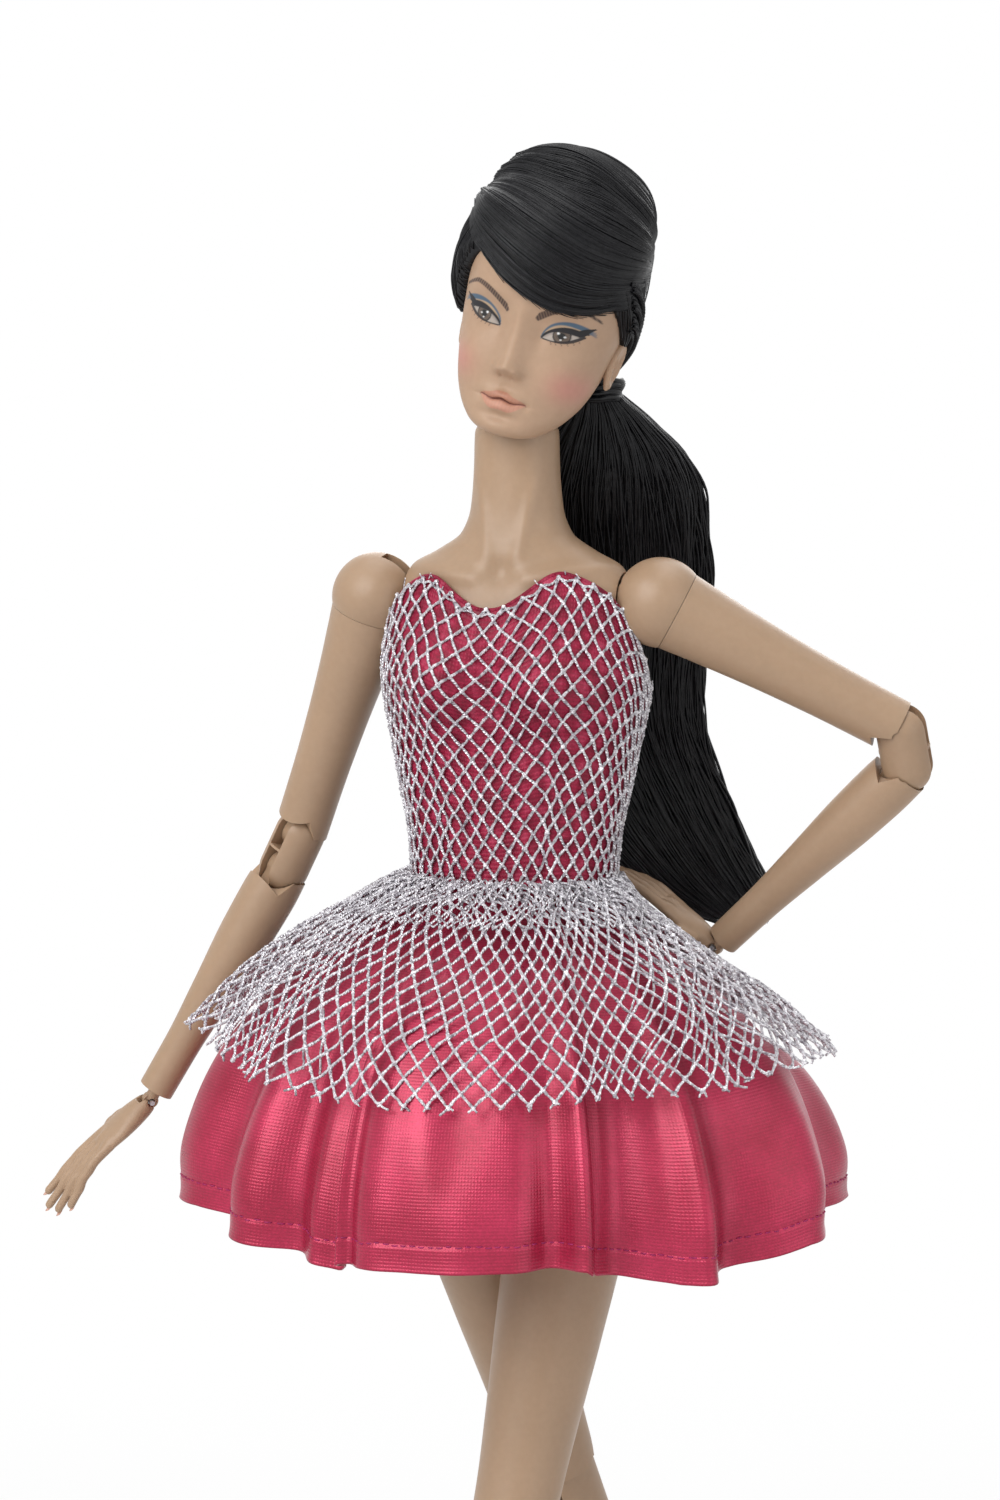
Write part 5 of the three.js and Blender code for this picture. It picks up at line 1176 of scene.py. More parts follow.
def cap_core():
    """The cap's plain form: down each temple, above the ears and low at the nape."""
    t = np.arange(120) / 120 * 2 * math.pi
    turned = np.abs((np.degrees(t) + 90 + 180) % 360 - 180)
    lowest = np.where(turned < 96, 0.735 - 0.3 * (turned / 96) ** 1.6,
                      0.2 + 0.235 * (1 - step(turned, 104, 142)))
    right = np.abs((np.degrees(t) + 180 + 180) % 360 - 180) < 62
    lowest = lowest - 0.07 * right * bump(turned - 84, 26)
    lowest = np.clip(np.convolve(np.r_[lowest[-3:], lowest, lowest[:3]], np.ones(7) / 7, "valid"), 0.16, 0.8)
    puffed = 1.3 * bump((np.degrees(t) + 170 + 180) % 360 - 180, 34)
    rows = []
    for k in range(50):
        share = lowest + (0.99 - lowest) * k / 49
        front = np.clip(-np.sin(t), 0, 1) ** 1.5 * step(share, 0.62, 0.72)
        edge = 0.75 * (1 - step(k / 49, 0.0, 0.08))
        rows.append(head_surface(t, share, 1.25 - 1.15 * front - edge + puffed * bump(share - 0.56, 0.2),
                                 False))
    inner_rows = [head_surface(t, lowest + (0.985 - lowest) * k / 49, -0.6, False) for k in range(50)]
    return loft(np.array(rows[::-1] + inner_rows))


def over_cap(places, tree, gap):
    """Places pushed out along their rays, where they would sink into the cap."""
    flat = places.reshape(-1, 3)
    out = flat.copy()
    for k, place in enumerate(flat):
        way = place - HEAD_MIDDLE
        far = np.linalg.norm(way)
        way = way / far
        met = tree.ray_cast(HEAD_MIDDLE + way * 60, -way)[0]
        if met is None:
            continue
        least = np.linalg.norm(np.array(met) - HEAD_MIDDLE) + gap
        if far < least + 1.0:
            # a soft limit keeps the hollow's shape readable
            out[k] = HEAD_MIDDLE + way * (least + 0.5 * math.log1p(math.exp((far - least) / 0.5)))
    return out.reshape(places.shape)


def build_cap(core):
    paths, radius = combed(core[0], core[1], 900, 40, 31)
    # crimped locks drawn back over the temple, above the ear
    locks = []
    for k in range(9):
        for ply in range(4):
            t = np.linspace(0, 1, 130)
            a0, a1 = -20 + 2.2 * k, 48
            angle = a0 + (a1 - a0) * t ** 1.1
            share = 0.66 - 0.02 * k + (0.27 - 0.66 + 0.02 * k) * t ** 1.7
            base = head_surface(np.radians(angle), np.clip(share, 0.1, 0.9), 1.75 + 0.35 * math.sin(k * 2.1),
                                False)
            turn_by = t * (70 + 9 * (k % 3)) + ply * math.pi / 2 + k
            out = unit(base - np.array((0, 0, 18.0)))
            across = np.cross(unit(np.gradient(base, axis=0)), out)
            locks.append(base + 0.34 * (np.cos(turn_by)[:, None] * out + np.sin(turn_by)[:, None] * across))
    groups = [core, tubes(paths, radius, 4), tubes(np.array(locks), 0.22, 5)]
    hair_piece("hair_cap_strands", groups, HEAD_SEEN, ("hair_cap",))


TAIL_DROP, TAIL_LONG = 1.4, 90
PONYTAIL_ROWS = [
    (0, 0.0, 0.02, 0.26, 0.7), (0.05, 0.02, 0.1, 0.55, 0.95), (0.11, 0.02, 0.19, 0.86, 1.02),
    (0.19, 0.01, 0.32, 1.06, 1.04), (0.28, 0.02, 0.45, 1.1, 1.0),
    (0.4, 0.06, 0.63, 1.04, 0.95), (0.6, 0.11, 0.86, 0.93, 0.9), (0.76, 0.3, 1.04, 0.92, 0.9),
    (0.9, 0.6, 1.1, 0.78, 0.85), (0.97, 0.84, 1.1, 0.5, 0.6), (1, 0.95, 1.1, 0.22, 0.3),
]
TIE = (HEAD_SEEN @ np.r_[TIE_PLACE, 1])[:3]


def tail_section(t, angle, share):
    """Points of the ponytail: t down its length, an angle round it and a share of its thickness."""
    t = np.asarray(t, float)
    _, left, back, width, thick = smooth_rows(PONYTAIL_ROWS, t.ravel())
    left, back, width, thick = (v.reshape(t.shape) for v in (left, back, width, thick))
    x = left * 27 + np.cos(angle) * width * 17 * share
    y = back * 17 + np.sin(angle) * thick * 5.4 * share
    return np.stack([x, y, -TAIL_DROP - t * TAIL_LONG], -1) + TIE


def build_ponytail():
    r = np.random.default_rng(77)
    sides = 64
    a = circle(sides)[None, :]
    count, steps = 860, 73

    def draw(least=0, most=6.28):
        return r.uniform(least, most, (count, 1))

    tt = np.linspace(0.0, 1.0, steps)[None, :]
    angle = (draw(0, 2 * math.pi) + r.normal(0, 0.16, (count, 1)) * tt
             + 0.07 * np.sin(tt * draw(3, 9) + draw()))
    share = (0.9 + draw(-0.06, 0.07) + 0.035 * np.sin(9 * angle + 6 * tt)
             + 0.02 * np.sin(tt * draw(20, 34) + draw()))
    paths = tail_section(tt * draw(0.9, 1.0), angle, np.clip(share, 0.3, 1.02))
    paths[..., 0] += 0.1 * np.sin(tt * 34 + draw()) * step(tt, 0.05, 0.2)
    radius = 0.21 * draw(0.7, 1.25) * (1 - 0.8 * step(tt, 0.9, 1.0)) * (0.75 + 0.25 * step(tt, 0, 0.15))
    cuts = ((0, 13), (12, 25), (24, steps))
    for k, (first, last) in enumerate(cuts):
        lo, hi = first / (steps - 1), (last - 1) / (steps - 1)
        t = np.linspace(max(lo, 0.002), min(hi, 0.985), 34)
        if k > 0:
            t = np.r_[lo - 0.012, t]
        if k < 2:
            t = np.r_[t, hi + 0.012]
        sunk = np.where((t < lo) | (t > hi), 0.9, 1.0)[:, None]
        t = t[:, None]
        ripple = 0.85 + 0.035 * np.sin(a * 9 + 6 * t) + 0.015 * np.sin(a * 17 - 9 * t)
        core = loft(tail_section(t + 0 * a, a + 0 * t, ripple * sunk))
        # each strand runs one step on, thinner, inside the next segment's, and keeps its frames
        f, g = max(first - 1, 0), min(last + 1, steps)
        thin = radius.copy()
        thin[:, :first] *= 0.5
        thin[:, last:] *= 0.5
        whole = tubes(paths, thin, 4, upright=(1, 0.3, 0))[0][:count * steps * 4]
        whole = whole.reshape(count, steps, 4, 3)
        ps, qs, ts, _ = tubes(paths[:, f:g], thin[:, f:g], 4, upright=(1, 0.3, 0))
        ps[:count * (g - f) * 4] = whole[:, f:g].reshape(-1, 3)
        ob = make(f"ponytail_{k + 1}", *merged([core, (ps, qs, ts)]))
        ob.data.materials.append(hair)
        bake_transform(ob)
        if k == 0:
            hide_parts("ponytail")
    # the tie: hair wound round the gathered tail
    turns = np.linspace(0, 2 * math.pi * 12, 540)
    x = np.cos(turns) * (4.1 + 0.3 * np.cos(turns * 0.9))
    y = np.sin(turns) * (3.8 + 0.3 * np.sin(turns * 0.7))
    z = -2.3 + 3.4 * (turns / turns[-1]) + 0.1 * np.sin(turns * 5)
    wrap = np.stack([x, y, z], -1) + TIE
    hair_piece("hair_tie_wrap", [tubes(wrap[None], 0.42)], None, ("hair_tie",))


CAP_CORE = cap_core()
build_fringe(CAP_CORE)
build_cap(CAP_CORE)
build_ponytail()


# Dress
BACK_START = math.pi / 2
SKIRT_ROWS = [(0, 0, 0, 0), (0.15, 0.09, 0.2, 1), (0.3, 0.21, 0.42, 1), (0.45, 0.35, 0.62, 0.8),
              (0.6, 0.5, 0.78, 0.5),
              (0.8, 0.74, 0.92, 0.2), (1, 1, 1, 0)]
PEPLUM_ROWS = [(0, 0, 0, 0), (0.2, 0.13, 0.2, 0.9), (0.4, 0.32, 0.44, 1), (0.7, 0.62, 0.74, 0.6),
               (1, 1, 1, 0.2)]
SKIRT = dict(top=-2, drop=50, back=0.5, waist=(17, 12), hem=(53, 43), press=9.33)
PEPLUM = dict(top=0.4, drop=25, back=0.5, waist=(17.8, 12.8), hem=(52, 44), press=11.25)
# Folds of the skirt: degrees round from the doll's own front, half width in degrees, height in millimetres
FOLDS = [
    (-37, 7, 4.2), (-28.5, 4, -2.6), (-21.5, 3, 1.6), (-12.6, 1.7, -1.9), (-7, 3.6, 1.5), (5, 9, 1.9),
    (20.5, 3.4, -3.6),
    (25.9, 1.7, 1.4), (34, 5, -3.6), (48, 3.6, 4.8), (57, 5, -3.2), (74, 9, 4.4), (-51, 5, -2.8),
    (-67, 9, 4.0),
    (-84, 6, -2.6), (-98, 8, 3.6), (94, 6, -2.8), (112, 8, 3.4), (130, 6, -2.6), (146, 8, 3.4),
    (163, 6, -2.6),
    (-115, 6, -2.6), (-131, 8, 3.4), (-148, 6, -2.6), (-164, 8, 3.2), (179, 6, 2.6),
]
PLEAT = (-15.4, 27.7)


def from_front(angle):
    """Degrees round from the doll's own front, positive to her left."""
    return (np.degrees(angle) + 90 + 180) % 360 - 180


def flared(shape, rows, angle, v, out=0.0):
    """The plain flared cloth of the CAD source, without its folds."""
    angle, v = np.broadcast_arrays(np.asarray(angle, float), np.asarray(v, float))
    _, drop, spread, dent = (c.reshape(v.shape) for c in smooth_rows(rows, v.ravel()))
    _, d1, s1, _ = (c.reshape(v.shape) for c in smooth_rows(rows, np.clip(v + 0.05, 0, 1).ravel()))
    _, d0, s0, _ = (c.reshape(v.shape) for c in smooth_rows(rows, np.clip(v - 0.05, 0, 1).ravel()))
    (ww, wd), (hw, hd) = shape["waist"], shape["hem"]
    lean = np.arctan2((d1 - d0) * shape["drop"], (s1 - s0) * (hw - ww))
    turned = angle - math.radians(34)
    away = np.arctan2(np.sin(turned), np.cos(turned))
    pressed = shape["press"] * dent * bump(away, math.radians(32))
    across = ww + (hw - ww) * spread + out * np.sin(lean)
    through = wd + (hd - wd) * spread + out * np.sin(lean)
    z = WAIST + shape["top"] - drop * shape["drop"] - pressed + out * np.cos(lean)
    return across, through, z


def skirt_surface(angle, v, out=0.0):
    angle, v = np.broadcast_arrays(np.asarray(angle, float), np.asarray(v, float))
    d = from_front(angle)
    fold = sum(h * bump((d - a + 180) % 360 - 180, w) for a, w, h in FOLDS)
    pleat = between(d, PLEAT[0] - 0.7, PLEAT[0] + 0.7, PLEAT[1] - 0.7, PLEAT[1] + 0.7)
    gather = 0.22 * np.sin(angle * 61 + 2 * np.sin(angle * 7)) * (1 - step(v, 0.05, 0.5))
    ripple = 0.12 * np.sin(angle * 37 + 5 * v) + 0.1 * np.sin(angle * 23 - 9 * v + 1.0)
    panel = 0.9 * bump(d + 6 - 7 * v, 4.5) * bump(v - 0.72, 0.2)
    panel = panel - 1.1 * bump(d - 3 - 5 * v, 6) * bump(v - 0.6, 0.25)
    drawn = 0.7 * np.sin((d + 18 * v) * 0.21) * bump(v - 0.55, 0.3) * (np.abs(d) > 30)
    extra = ((fold * v ** 1.25 + panel + drawn) + 1.2 * v + 4.6 * pleat * step(v, 0.04, 0.5) + gather
             + ripple * v)
    hem = step(v, 0.937, 0.947)
    thicker = 0.16 * hem - 0.14 * bump(v - 0.942, 0.006)
    across, through, z = flared(SKIRT, SKIRT_ROWS, angle, v, out
                                + (thicker if np.ndim(out) == 0 and out > 0 else 0))
    tuck = -2.2 * step(v, 0.82, 1.0) ** 2 * (0.35 + 0.65 * np.abs(np.cos(angle)))
    droop = SKIRT_DROOP(d) * v ** 1.5
    x = np.cos(angle) * (across + extra + tuck)
    y = SKIRT["back"] + np.sin(angle) * (through + extra + tuck)
    z = z - droop + 0.35 * extra * (1 - v)
    return np.stack([x, y, z], -1)


def droop_from(points):
    xs, ys = np.array(points).T

    def at(d):
        return np.interp(d, xs, ys)
    return at


SKIRT_DROOP = droop_from([(-180, 0), (-100, 0), (-60, 0.6), (-24, 4.2), (-17, 5.4), (-14.5, 3.4), (0, 3.2),
                          (26, 2.6),
                          (29, 4.6), (44, 6.2), (58, 5.2), (72, 2.2), (90, 0.6), (120, 0), (180, 0)])
PEPLUM_DROOP = droop_from([(-180, 0), (-110, 0), (-70, 1.0), (-45, 3.6), (-15, 6.2), (12, 6.4), (26, 5.2),
                           (34, 4.4), (55, 4.0), (80, 1.4), (110, 0), (180, 0)])


def cloth_shell(name, point, rows, angles, outer, inner, material, node, scale):
    """A cloth of even thickness with a closed hem, its picture coordinates in its own metres."""
    outside = np.array([point(angles, v, outer) for v in rows])
    rings = np.concatenate([outside, [point(angles, v, inner) for v in rows[::-1]]])
    m, n = rings.shape[:2]
    # one closed loop of rings: the last is joined back to the first
    a = np.arange(n)
    b = (a + 1) % n
    i = np.arange(m)[:, None] * n
    j = (np.arange(m) + 1)[:, None] % m * n
    quads = np.stack([i + a, i + b, j + b, j + a], -1).reshape(-1, 4)
    points = rings.reshape(-1, 3)
    if volume(points, quads, np.zeros((0, 3), int)) < 0:
        quads = quads[:, ::-1]
    along = np.r_[0, np.cumsum(np.linalg.norm(np.diff(outside[:, 0], axis=0), axis=1))]
    u, v = (np.unwrap(angles) * scale)[None, :], np.r_[along, along[::-1]][:, None]
    uv = np.stack(np.broadcast_arrays(u, v), -1).reshape(-1, 2) * MM
    ob = make(name, points, quads, (), TORSO, uv)
    dress_up(ob, material, "torso", (node,))
    d_u = np.linalg.norm(np.roll(outside, -1, 1) - outside, axis=2)
    d_v = np.linalg.norm(np.diff(outside, axis=0), axis=2)
    area = float((0.5 * (d_u[1:] + d_u[:-1]) * 0.5 * (d_v + np.roll(d_v, -1, 1))).sum()) * MM * MM
    return ob, area, float(along[-1]) * MM


def net_paths(point, columns, half_rows, fine, warp, loose, seed):
    """Both sets of slanting strands of a diamond net, and the places where they cross."""
    r = np.random.default_rng(seed)
    steps = half_rows * fine + 1
    j = np.linspace(0, half_rows, steps)[None, :]
    k = np.arange(columns)[:, None]
    paths = []
    for sign in (1, -1):
        angle = BACK_START + 2 * math.pi * (k + sign * j / 2) / columns
        v = np.broadcast_to(j / half_rows, angle.shape)
        angle, v = warp(angle, v)
        wander = 0.06 * np.sin(j * math.pi + sign) + r.normal(0, 0.05, angle.shape)
        lift = 0.12 * sign * np.sin(j * math.pi) + loose
        paths.append(point(angle + wander * 0.012, v + r.normal(0, 0.0012, v.shape), lift))
    jj, kk = np.meshgrid(np.arange(half_rows + 1), np.arange(columns), indexing="ij")
    angle = BACK_START + 2 * math.pi * (kk + jj / 2) / columns
    angle, v = warp(angle, jj / half_rows)
    crossings = point(angle, v, loose)
    return np.concatenate(paths), crossings.reshape(-1, 3)


def knots(places, radius, seed):
    """Small uneven lumps where the strands of a net are tied."""
    r = np.random.default_rng(seed)
    n = len(places)
    size = radius * r.uniform(0.75, 1.3, (n, 1))
    direction = unit(r.normal(0, 1, (n, 3)))
    t = np.linspace(-1, 1, 5)
    path = places[:, None, :] + direction[:, None, :] * (t[None, :, None] * size[:, :, None])
    return tubes(path, size * np.sqrt(np.clip(1.04 - t * t, 0.04, 1))[None, :])


def uneven(paths, radius, amount, along, across):
    """Radii of strands that swell and thin along each and from one to the next."""
    steps, count = np.arange(paths.shape[1])[None, :], np.arange(len(paths))[:, None]
    return radius * (1 + amount * np.sin(steps * along + count * across))


def net_piece(name, groups, node):
    p, q, t, uv = merged(groups)
    ob = make(name, p, q, t, TORSO, uv)
    dress_up(ob, silver, "torso", (node,))
    return ob


def sewn_piece(name, group, material):
    p, q, t, uv = group
    ob = make(name, p, q, t, TORSO, uv)
    dress_up(ob, material, "torso", ())
    return ob


def top_edge(angle):
    across = np.cos(angle) * CHEST_W
    frontness = np.maximum(-np.sin(angle), 0)
    dip = 6.8 * (1 - step(np.abs(across + 1.2), 0.5, 13.5)) * (np.sin(angle) < 0)
    return 0.687 * TORSO_H - dip - 19 * (1 - frontness) ** 1.7


def bodice_surface(angle, v, out=0.0):
    angle, v = np.broadcast_arrays(np.asarray(angle, float), np.asarray(v, float))
    rise = -1.5 + (top_edge(angle) + 1.5) * v
    p = torso_surface(angle, rise, out)
    p[..., 0] += 1.3 * np.cos(angle) * bump(rise - 33, 9)
    front = np.clip(-np.sin(angle), 0, 1)
    dart = bump(np.abs(p[..., 0]) - (7.6 + 1.6 * v), 0.55) * between(v, 0.02, 0.1, 0.6, 0.72)
    crease = (0.22 * np.sin(v * 34 + p[..., 0] * 0.5) * bump(v - 0.08, 0.09)
              + 0.16 * np.sin(p[..., 0] * 0.9 + v * 9) * bump(v - 0.35, 0.2))
    p[..., 1] += front * (0.42 * dart - crease)
    return p


def build_bodice():
    angles = BACK_START + circle(224)
    rows = np.linspace(0, 1, 90)
    ob, area, _ = cloth_shell("bodice_cloth", bodice_surface, rows, angles, 1.45, 0.65,
                              pink_cloth, "bodice", 18)
    rim = bodice_surface(angles, 1.0, 1.05)
    rim = np.concatenate([rim, rim[:2]])
    edge = sewn_piece("bodice_piping", tubes(rim[None], 0.46, 10), pink_cloth)

    def warp(angle, v):
        d = from_front(angle)
        pull = 0
        for middle in (31, -31):
            pull = (pull
                    + 0.045 * ((d - middle) / 9) * bump(d - middle, 9) * between(v, 0.02, 0.15, 0.55, 0.75))
        sway = 0.018 * np.sin(3 * angle + 7 * v) + 0.012 * np.sin(7 * angle - 11 * v)
        return angle - pull * 0.9 + sway, np.clip(v + 0.006 * np.sin(5 * angle + 4 * v), 0, 1.01)

    paths, cross = net_paths(bodice_surface, 42, 25, 4, warp, 1.8, 41)
    r = np.random.default_rng(43)
    ends = []
    t = np.linspace(0, 1, 6)
    for _ in range(44):
        a = r.uniform(0, 2 * math.pi)
        base = bodice_surface(np.full(6, a) + 0.02 * r.normal(0, 1) * t, np.ones(6), 1.7)
        ends.append(base + np.outer(t, r.normal(0, 0.4, 3) + np.array((0, 0, 0.65))))
    top = bodice_surface(angles, 0.985, 1.85) + np.outer(0.25 * np.sin(angles * 46), (0, 0, 1))
    top = np.concatenate([top, top[:2]])
    net = net_piece("bodice_net_strands", [
        tubes(paths, uneven(paths, 0.25, 0.22, 2.1, 1.7), 5), knots(cross, 0.4, 44),
        tubes(np.array(ends), 0.11, 4), tubes(top[None], 0.21, 5),
    ], "bodice_net")


def build_skirt():
    fine = np.r_[np.linspace(PLEAT[0] - 2, PLEAT[0] + 2, 17), np.linspace(PLEAT[1] - 2, PLEAT[1] + 2, 17)]
    plain = np.arange(-180, 180, 0.8)
    plain = plain[(np.abs(plain - PLEAT[0]) > 2.3) & (np.abs(plain - PLEAT[1]) > 2.3)]
    angles = np.radians(np.sort(np.r_[plain, fine]) - 90)
    rows = np.r_[np.linspace(0, 0.92, 66), np.linspace(0.93, 0.96, 9), np.linspace(0.967, 1, 8)]
    ob, area, length = cloth_shell("skirt_cloth", skirt_surface, rows, angles, 0.27, -0.25,
                                   pink_lame, "skirt", 46)
    r = np.random.default_rng(51)
    count = 250
    a = np.linspace(-math.pi, math.pi, count, endpoint=False) + r.normal(0, 0.001, count)
    t = np.linspace(-0.5, 0.5, 6)[None, :]
    around = a[:, None] + t * 0.0155 * r.uniform(0.85, 1.1, (count, 1))
    stitch = skirt_surface(around, 0.942 + r.normal(0, 0.0012, (count, 1)) + 0 * t, 0.2)
    away = np.stack([np.cos(a), np.sin(a), 0 * a], -1)[:, None, :]
    stitch = stitch + away * (0.17 * np.cos(t * math.pi))[..., None]
    sewn = sewn_piece("skirt_hem_stitches", tubes(stitch, 0.13, 5), hem_thread)


def peplum_surface(angle, v, out=0.0, layer=0):
    angle, v = np.broadcast_arrays(np.asarray(angle, float), np.clip(v, 0, None).astype(float))
    d = from_front(angle)
    across, through, z = flared(PEPLUM, PEPLUM_ROWS, angle, v, out)
    wave = 1.9 * np.sin(math.radians(1) * d * 9 + 0.7 + layer * 2.1) * (0.35 + 0.65 * step(np.abs(d), 40, 80))
    wave = wave + 1.0 * np.sin(math.radians(1) * d * 17 - 1.2 + layer)
    overlap = 2.3 * between(d, 3, 27, 27.2, 30.2) * step(v, 0.0, 0.5)
    hump = 1.4 * bump(d + 8, 22)
    extra = wave * v ** 1.2 + overlap + hump * v
    press_away = 1 - bump(d - 124, 30)
    extra = extra * press_away
    ruffle = 0.7 * np.sin(angle * 26 + layer * 1.3 + 2 * np.sin(5 * angle)) * bump(v - 0.1, 0.16)
    x = np.cos(angle) * (across + extra + 0.3 * ruffle)
    y = PEPLUM["back"] + np.sin(angle) * (through + extra + 0.3 * ruffle)
    z = z - PEPLUM_DROOP(d) * v ** 1.4 + 0.45 * extra * (1 - 0.6 * v) + ruffle * press_away * 0.5 + 0.75
    return np.stack([x, y, z], -1)


def build_peplum():
    def warp(angle, v):
        d = from_front(angle)
        swirl = (0.10 * bump(d - 8, 22) * np.sin(math.pi * np.clip(v * 1.3, 0, 1))
                 - 0.07 * bump(d - 40, 14) * v)
        sway = 0.02 * np.sin(3 * angle + 5 * v) + 0.014 * np.sin(8 * angle - 9 * v)
        return angle + swirl + sway * v, np.clip(v + 0.012 * np.sin(4 * angle + 3 * v) * v, 0, 1.02)

    paths, cross = net_paths(peplum_surface, 84, 20, 4, warp, 0.0, 61)
    r = np.random.default_rng(62)
    groups = [tubes(paths, uneven(paths, 0.26, 0.25, 2.3, 1.9), 5), knots(cross[84:], 0.42, 63)]
    # raw ends: each strand runs a little past its last knot
    tips = paths[:, -1]
    outward = unit(tips - paths[:, -4])
    t = np.linspace(0, 1, 5)[None, :, None]
    bend = r.normal(0, 0.35, (len(tips), 1, 3))
    ends = tips[:, None, :] + outward[:, None, :] * t * r.uniform(0.3, 1.7, (len(tips), 1, 1)) + bend * t ** 2
    groups.append(tubes(ends, 0.2, 4))

    # the net is gathered into several layers at the waist and over both sides
    def second(angle, v, out=0.0):
        return peplum_surface(angle, v * 0.93, out - 0.8, layer=1)

    def third(angle, v, out=0.0):
        return peplum_surface(angle, v * 0.3, out + 0.35, layer=2)

    both, _ = net_paths(second, 78, 18, 4, lambda a, v: (a + 0.03 * np.sin(5 * a + 8 * v), v), 0.0, 64)
    mid = both[:, both.shape[1] // 2]
    sides = np.abs(from_front(np.arctan2(mid[:, 1], mid[:, 0]))) > 52
    groups.append(tubes(both[sides], 0.21, 4))
    waist, _ = net_paths(third, 70, 8, 4, lambda a, v: (a + 0.05 * np.sin(7 * a + 8 * v), v), 0.0, 65)
    groups.append(tubes(waist, 0.19, 4))
    net_piece("peplum_net", groups, "peplum")


def build_closure():
    """The hook-and-loop strip down the back of the bodice."""
    rows = np.linspace(0.02, 0.98, 40)
    half = 6 / 2 / CHEST_D / 1.6
    height = top_edge(math.pi / 2) - 2
    place = (BACK_START + np.linspace(-half, half, 14))[None, :]
    rise = (2 + height * rows)[:, None]
    over = torso_surface(place, rise, 3.4)
    over[..., 1] += 0.1 * np.sin(rows * 60)[:, None]
    p, q, t = loft(np.concatenate([over, torso_surface(place, rise, 2.9)[:, ::-1]], 1))
    ob = make("closure_strip", p, q, t, TORSO, p[:, [0, 2]] * MM)
    dress_up(ob, tape, "torso", ("back_closure",))
    stitches = []
    tt = np.linspace(-0.5, 0.5, 5)
    for side in (-0.86, 0.86):
        for v in np.linspace(0.04, 0.96, 26):
            c = torso_surface(np.full(5, BACK_START + side * half), 2 + height * v + tt * 0.8, 3.42)
            c[:, 1] += 0.1 * np.cos(tt * math.pi)
            stitches.append(c)
    sewn_piece("closure_stitches", tubes(np.array(stitches), 0.1, 5), hem_thread)


build_bodice()
build_skirt()
build_peplum()
build_closure()


# Camera, lights and stage
def seen_rays(nt):
    """1 for the rays that see the white surroundings: from the camera, a reflection or through glass."""
    path = add(nt, "ShaderNodeLightPath")
    both = math_node(nt, "MAXIMUM", path.outputs["Is Camera Ray"], path.outputs["Is Glossy Ray"])
    return math_node(nt, "MAXIMUM", both, path.outputs["Is Transmission Ray"])


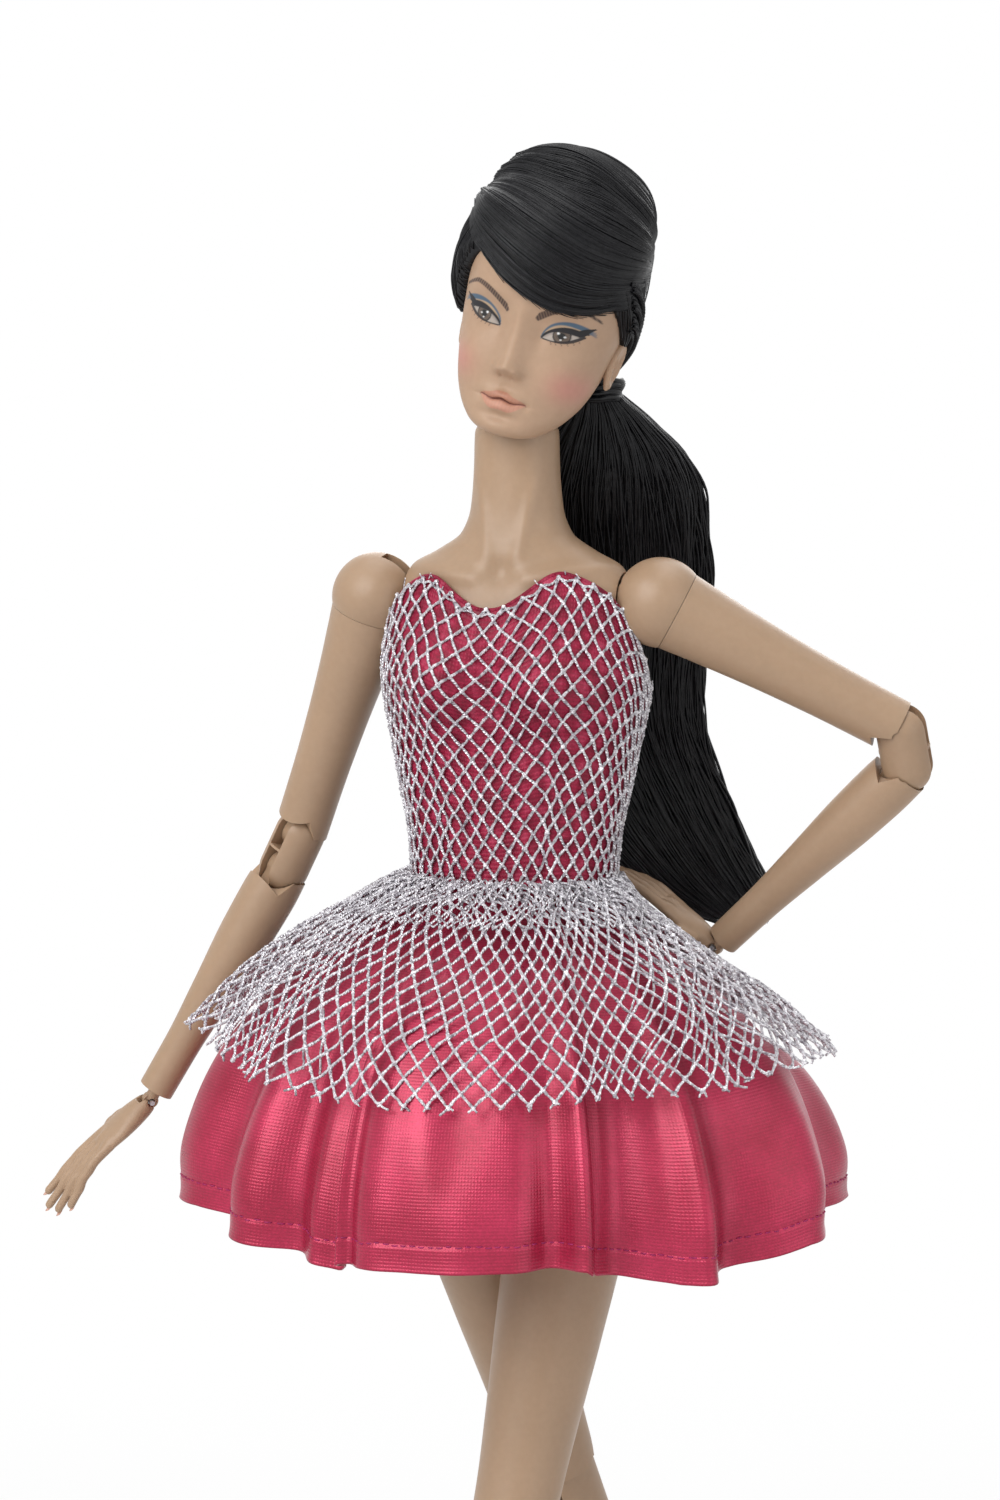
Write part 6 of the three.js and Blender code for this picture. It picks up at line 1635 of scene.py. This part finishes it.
def build_stage():
    scene = bpy.context.scene
    scene.view_settings.view_transform = "Standard"
    cam = bpy.data.objects.new("camera", bpy.data.cameras.new("camera"))
    scene.collection.objects.link(cam)
    distance, pitch = 0.75, math.radians(5.6)
    aim = Vector((-0.0023, 0, 0.0214))
    cam.location = aim + Vector((0, -distance * math.cos(pitch), distance * math.sin(pitch)))
    cam.rotation_mode = "QUATERNION"
    cam.rotation_quaternion = (aim - cam.location).to_track_quat("-Z", "Y")
    cam.data.sensor_width, cam.data.lens = 36, 36 * 4612 / 1500
    cam.data.clip_start, cam.data.clip_end = 0.05, 20
    scene.camera = cam
    reach, ground = 3000, -196.2
    corners = [(-reach, -reach, ground), (reach, -reach, ground), (reach, reach, ground),
               (-reach, reach, ground)]
    floor = make("floor", corners, [(0, 1, 2, 3)], smooth=False)
    m, nt, b = nodes_of("floor", (0.82, 0.82, 0.82), 0.75)
    feed(nt, b, "Base Color", noise(nt, 6, 3), [(0.3, 0.8), (0.7, 0.84)])
    floor.data.materials.append(m)
    glow = add(nt, "ShaderNodeEmission", Color=(1, 1, 1, 1), Strength=1.0)
    mix = add(nt, "ShaderNodeMixShader")
    out = nt.nodes["Material Output"]
    nt.links.new(seen_rays(nt), mix.inputs[0])
    nt.links.new(b.outputs[0], mix.inputs[1])
    both = add(nt, "ShaderNodeMixShader")
    place = add(nt, "ShaderNodeNewGeometry")
    away = add(nt, "ShaderNodeVectorMath", operation="LENGTH")
    nt.links.new(place.outputs["Position"], away.inputs[0])
    fade = add(nt, "ShaderNodeMapRange", interpolation_type="SMOOTHSTEP")
    nt.links.new(away.outputs["Value"], fade.inputs["Value"])
    for key, value in (("From Min", 0.2), ("From Max", 0.55), ("To Min", 0.45), ("To Max", 1.0)):
        fade.inputs[key].default_value = value
    nt.links.new(fade.outputs[0], both.inputs[0])
    nt.links.new(b.outputs[0], both.inputs[1])
    nt.links.new(glow.outputs[0], both.inputs[2])
    nt.links.new(both.outputs[0], mix.inputs[2])
    nt.links.new(mix.outputs[0], out.inputs["Surface"])
    world = bpy.data.worlds.new("studio")
    world.use_nodes = True
    wt = world.node_tree
    bg = wt.nodes["Background"]
    bg.inputs["Color"].default_value = (1, 1, 1, 1)
    bg.inputs["Strength"].default_value = 0.3
    seen = add(wt, "ShaderNodeBackground", Color=(1, 1, 1, 1), Strength=1.0)
    mix = add(wt, "ShaderNodeMixShader")
    wt.links.new(seen_rays(wt), mix.inputs[0])
    wt.links.new(bg.outputs[0], mix.inputs[1])
    wt.links.new(seen.outputs[0], mix.inputs[2])
    wt.links.new(mix.outputs[0], wt.nodes["World Output"].inputs["Surface"])
    scene.world = world
    for name, place, size, power in (
        ("key", (-0.62, -0.75, 0.62), 0.9, 11.0), ("fill", (0.8, -0.75, 0.2), 1.0, 2.6),
        ("top", (0.1, 0.1, 0.95), 0.8, 4.5), ("back", (0.2, 0.9, 0.5), 0.8, 4.0),
    ):
        lamp = bpy.data.objects.new(name, bpy.data.lights.new(name, "AREA"))
        scene.collection.objects.link(lamp)
        lamp.location = place
        lamp.rotation_mode = "QUATERNION"
        lamp.rotation_quaternion = (Vector((0, 0, 0.02)) - Vector(place)).to_track_quat("-Z", "Y")
        lamp.data.size, lamp.data.energy = size, power


for node, ob in frame["nodes"].items():
    if node.endswith("pin") or "_pin_" in node or node == "hip_rod":
        ob.data.materials[0] = pin_steel
    elif node in ("neck_knob", "head_socket") or node.endswith("disc") or node.endswith("hip_block"):
        ob.data.materials[0] = inner
build_stage()
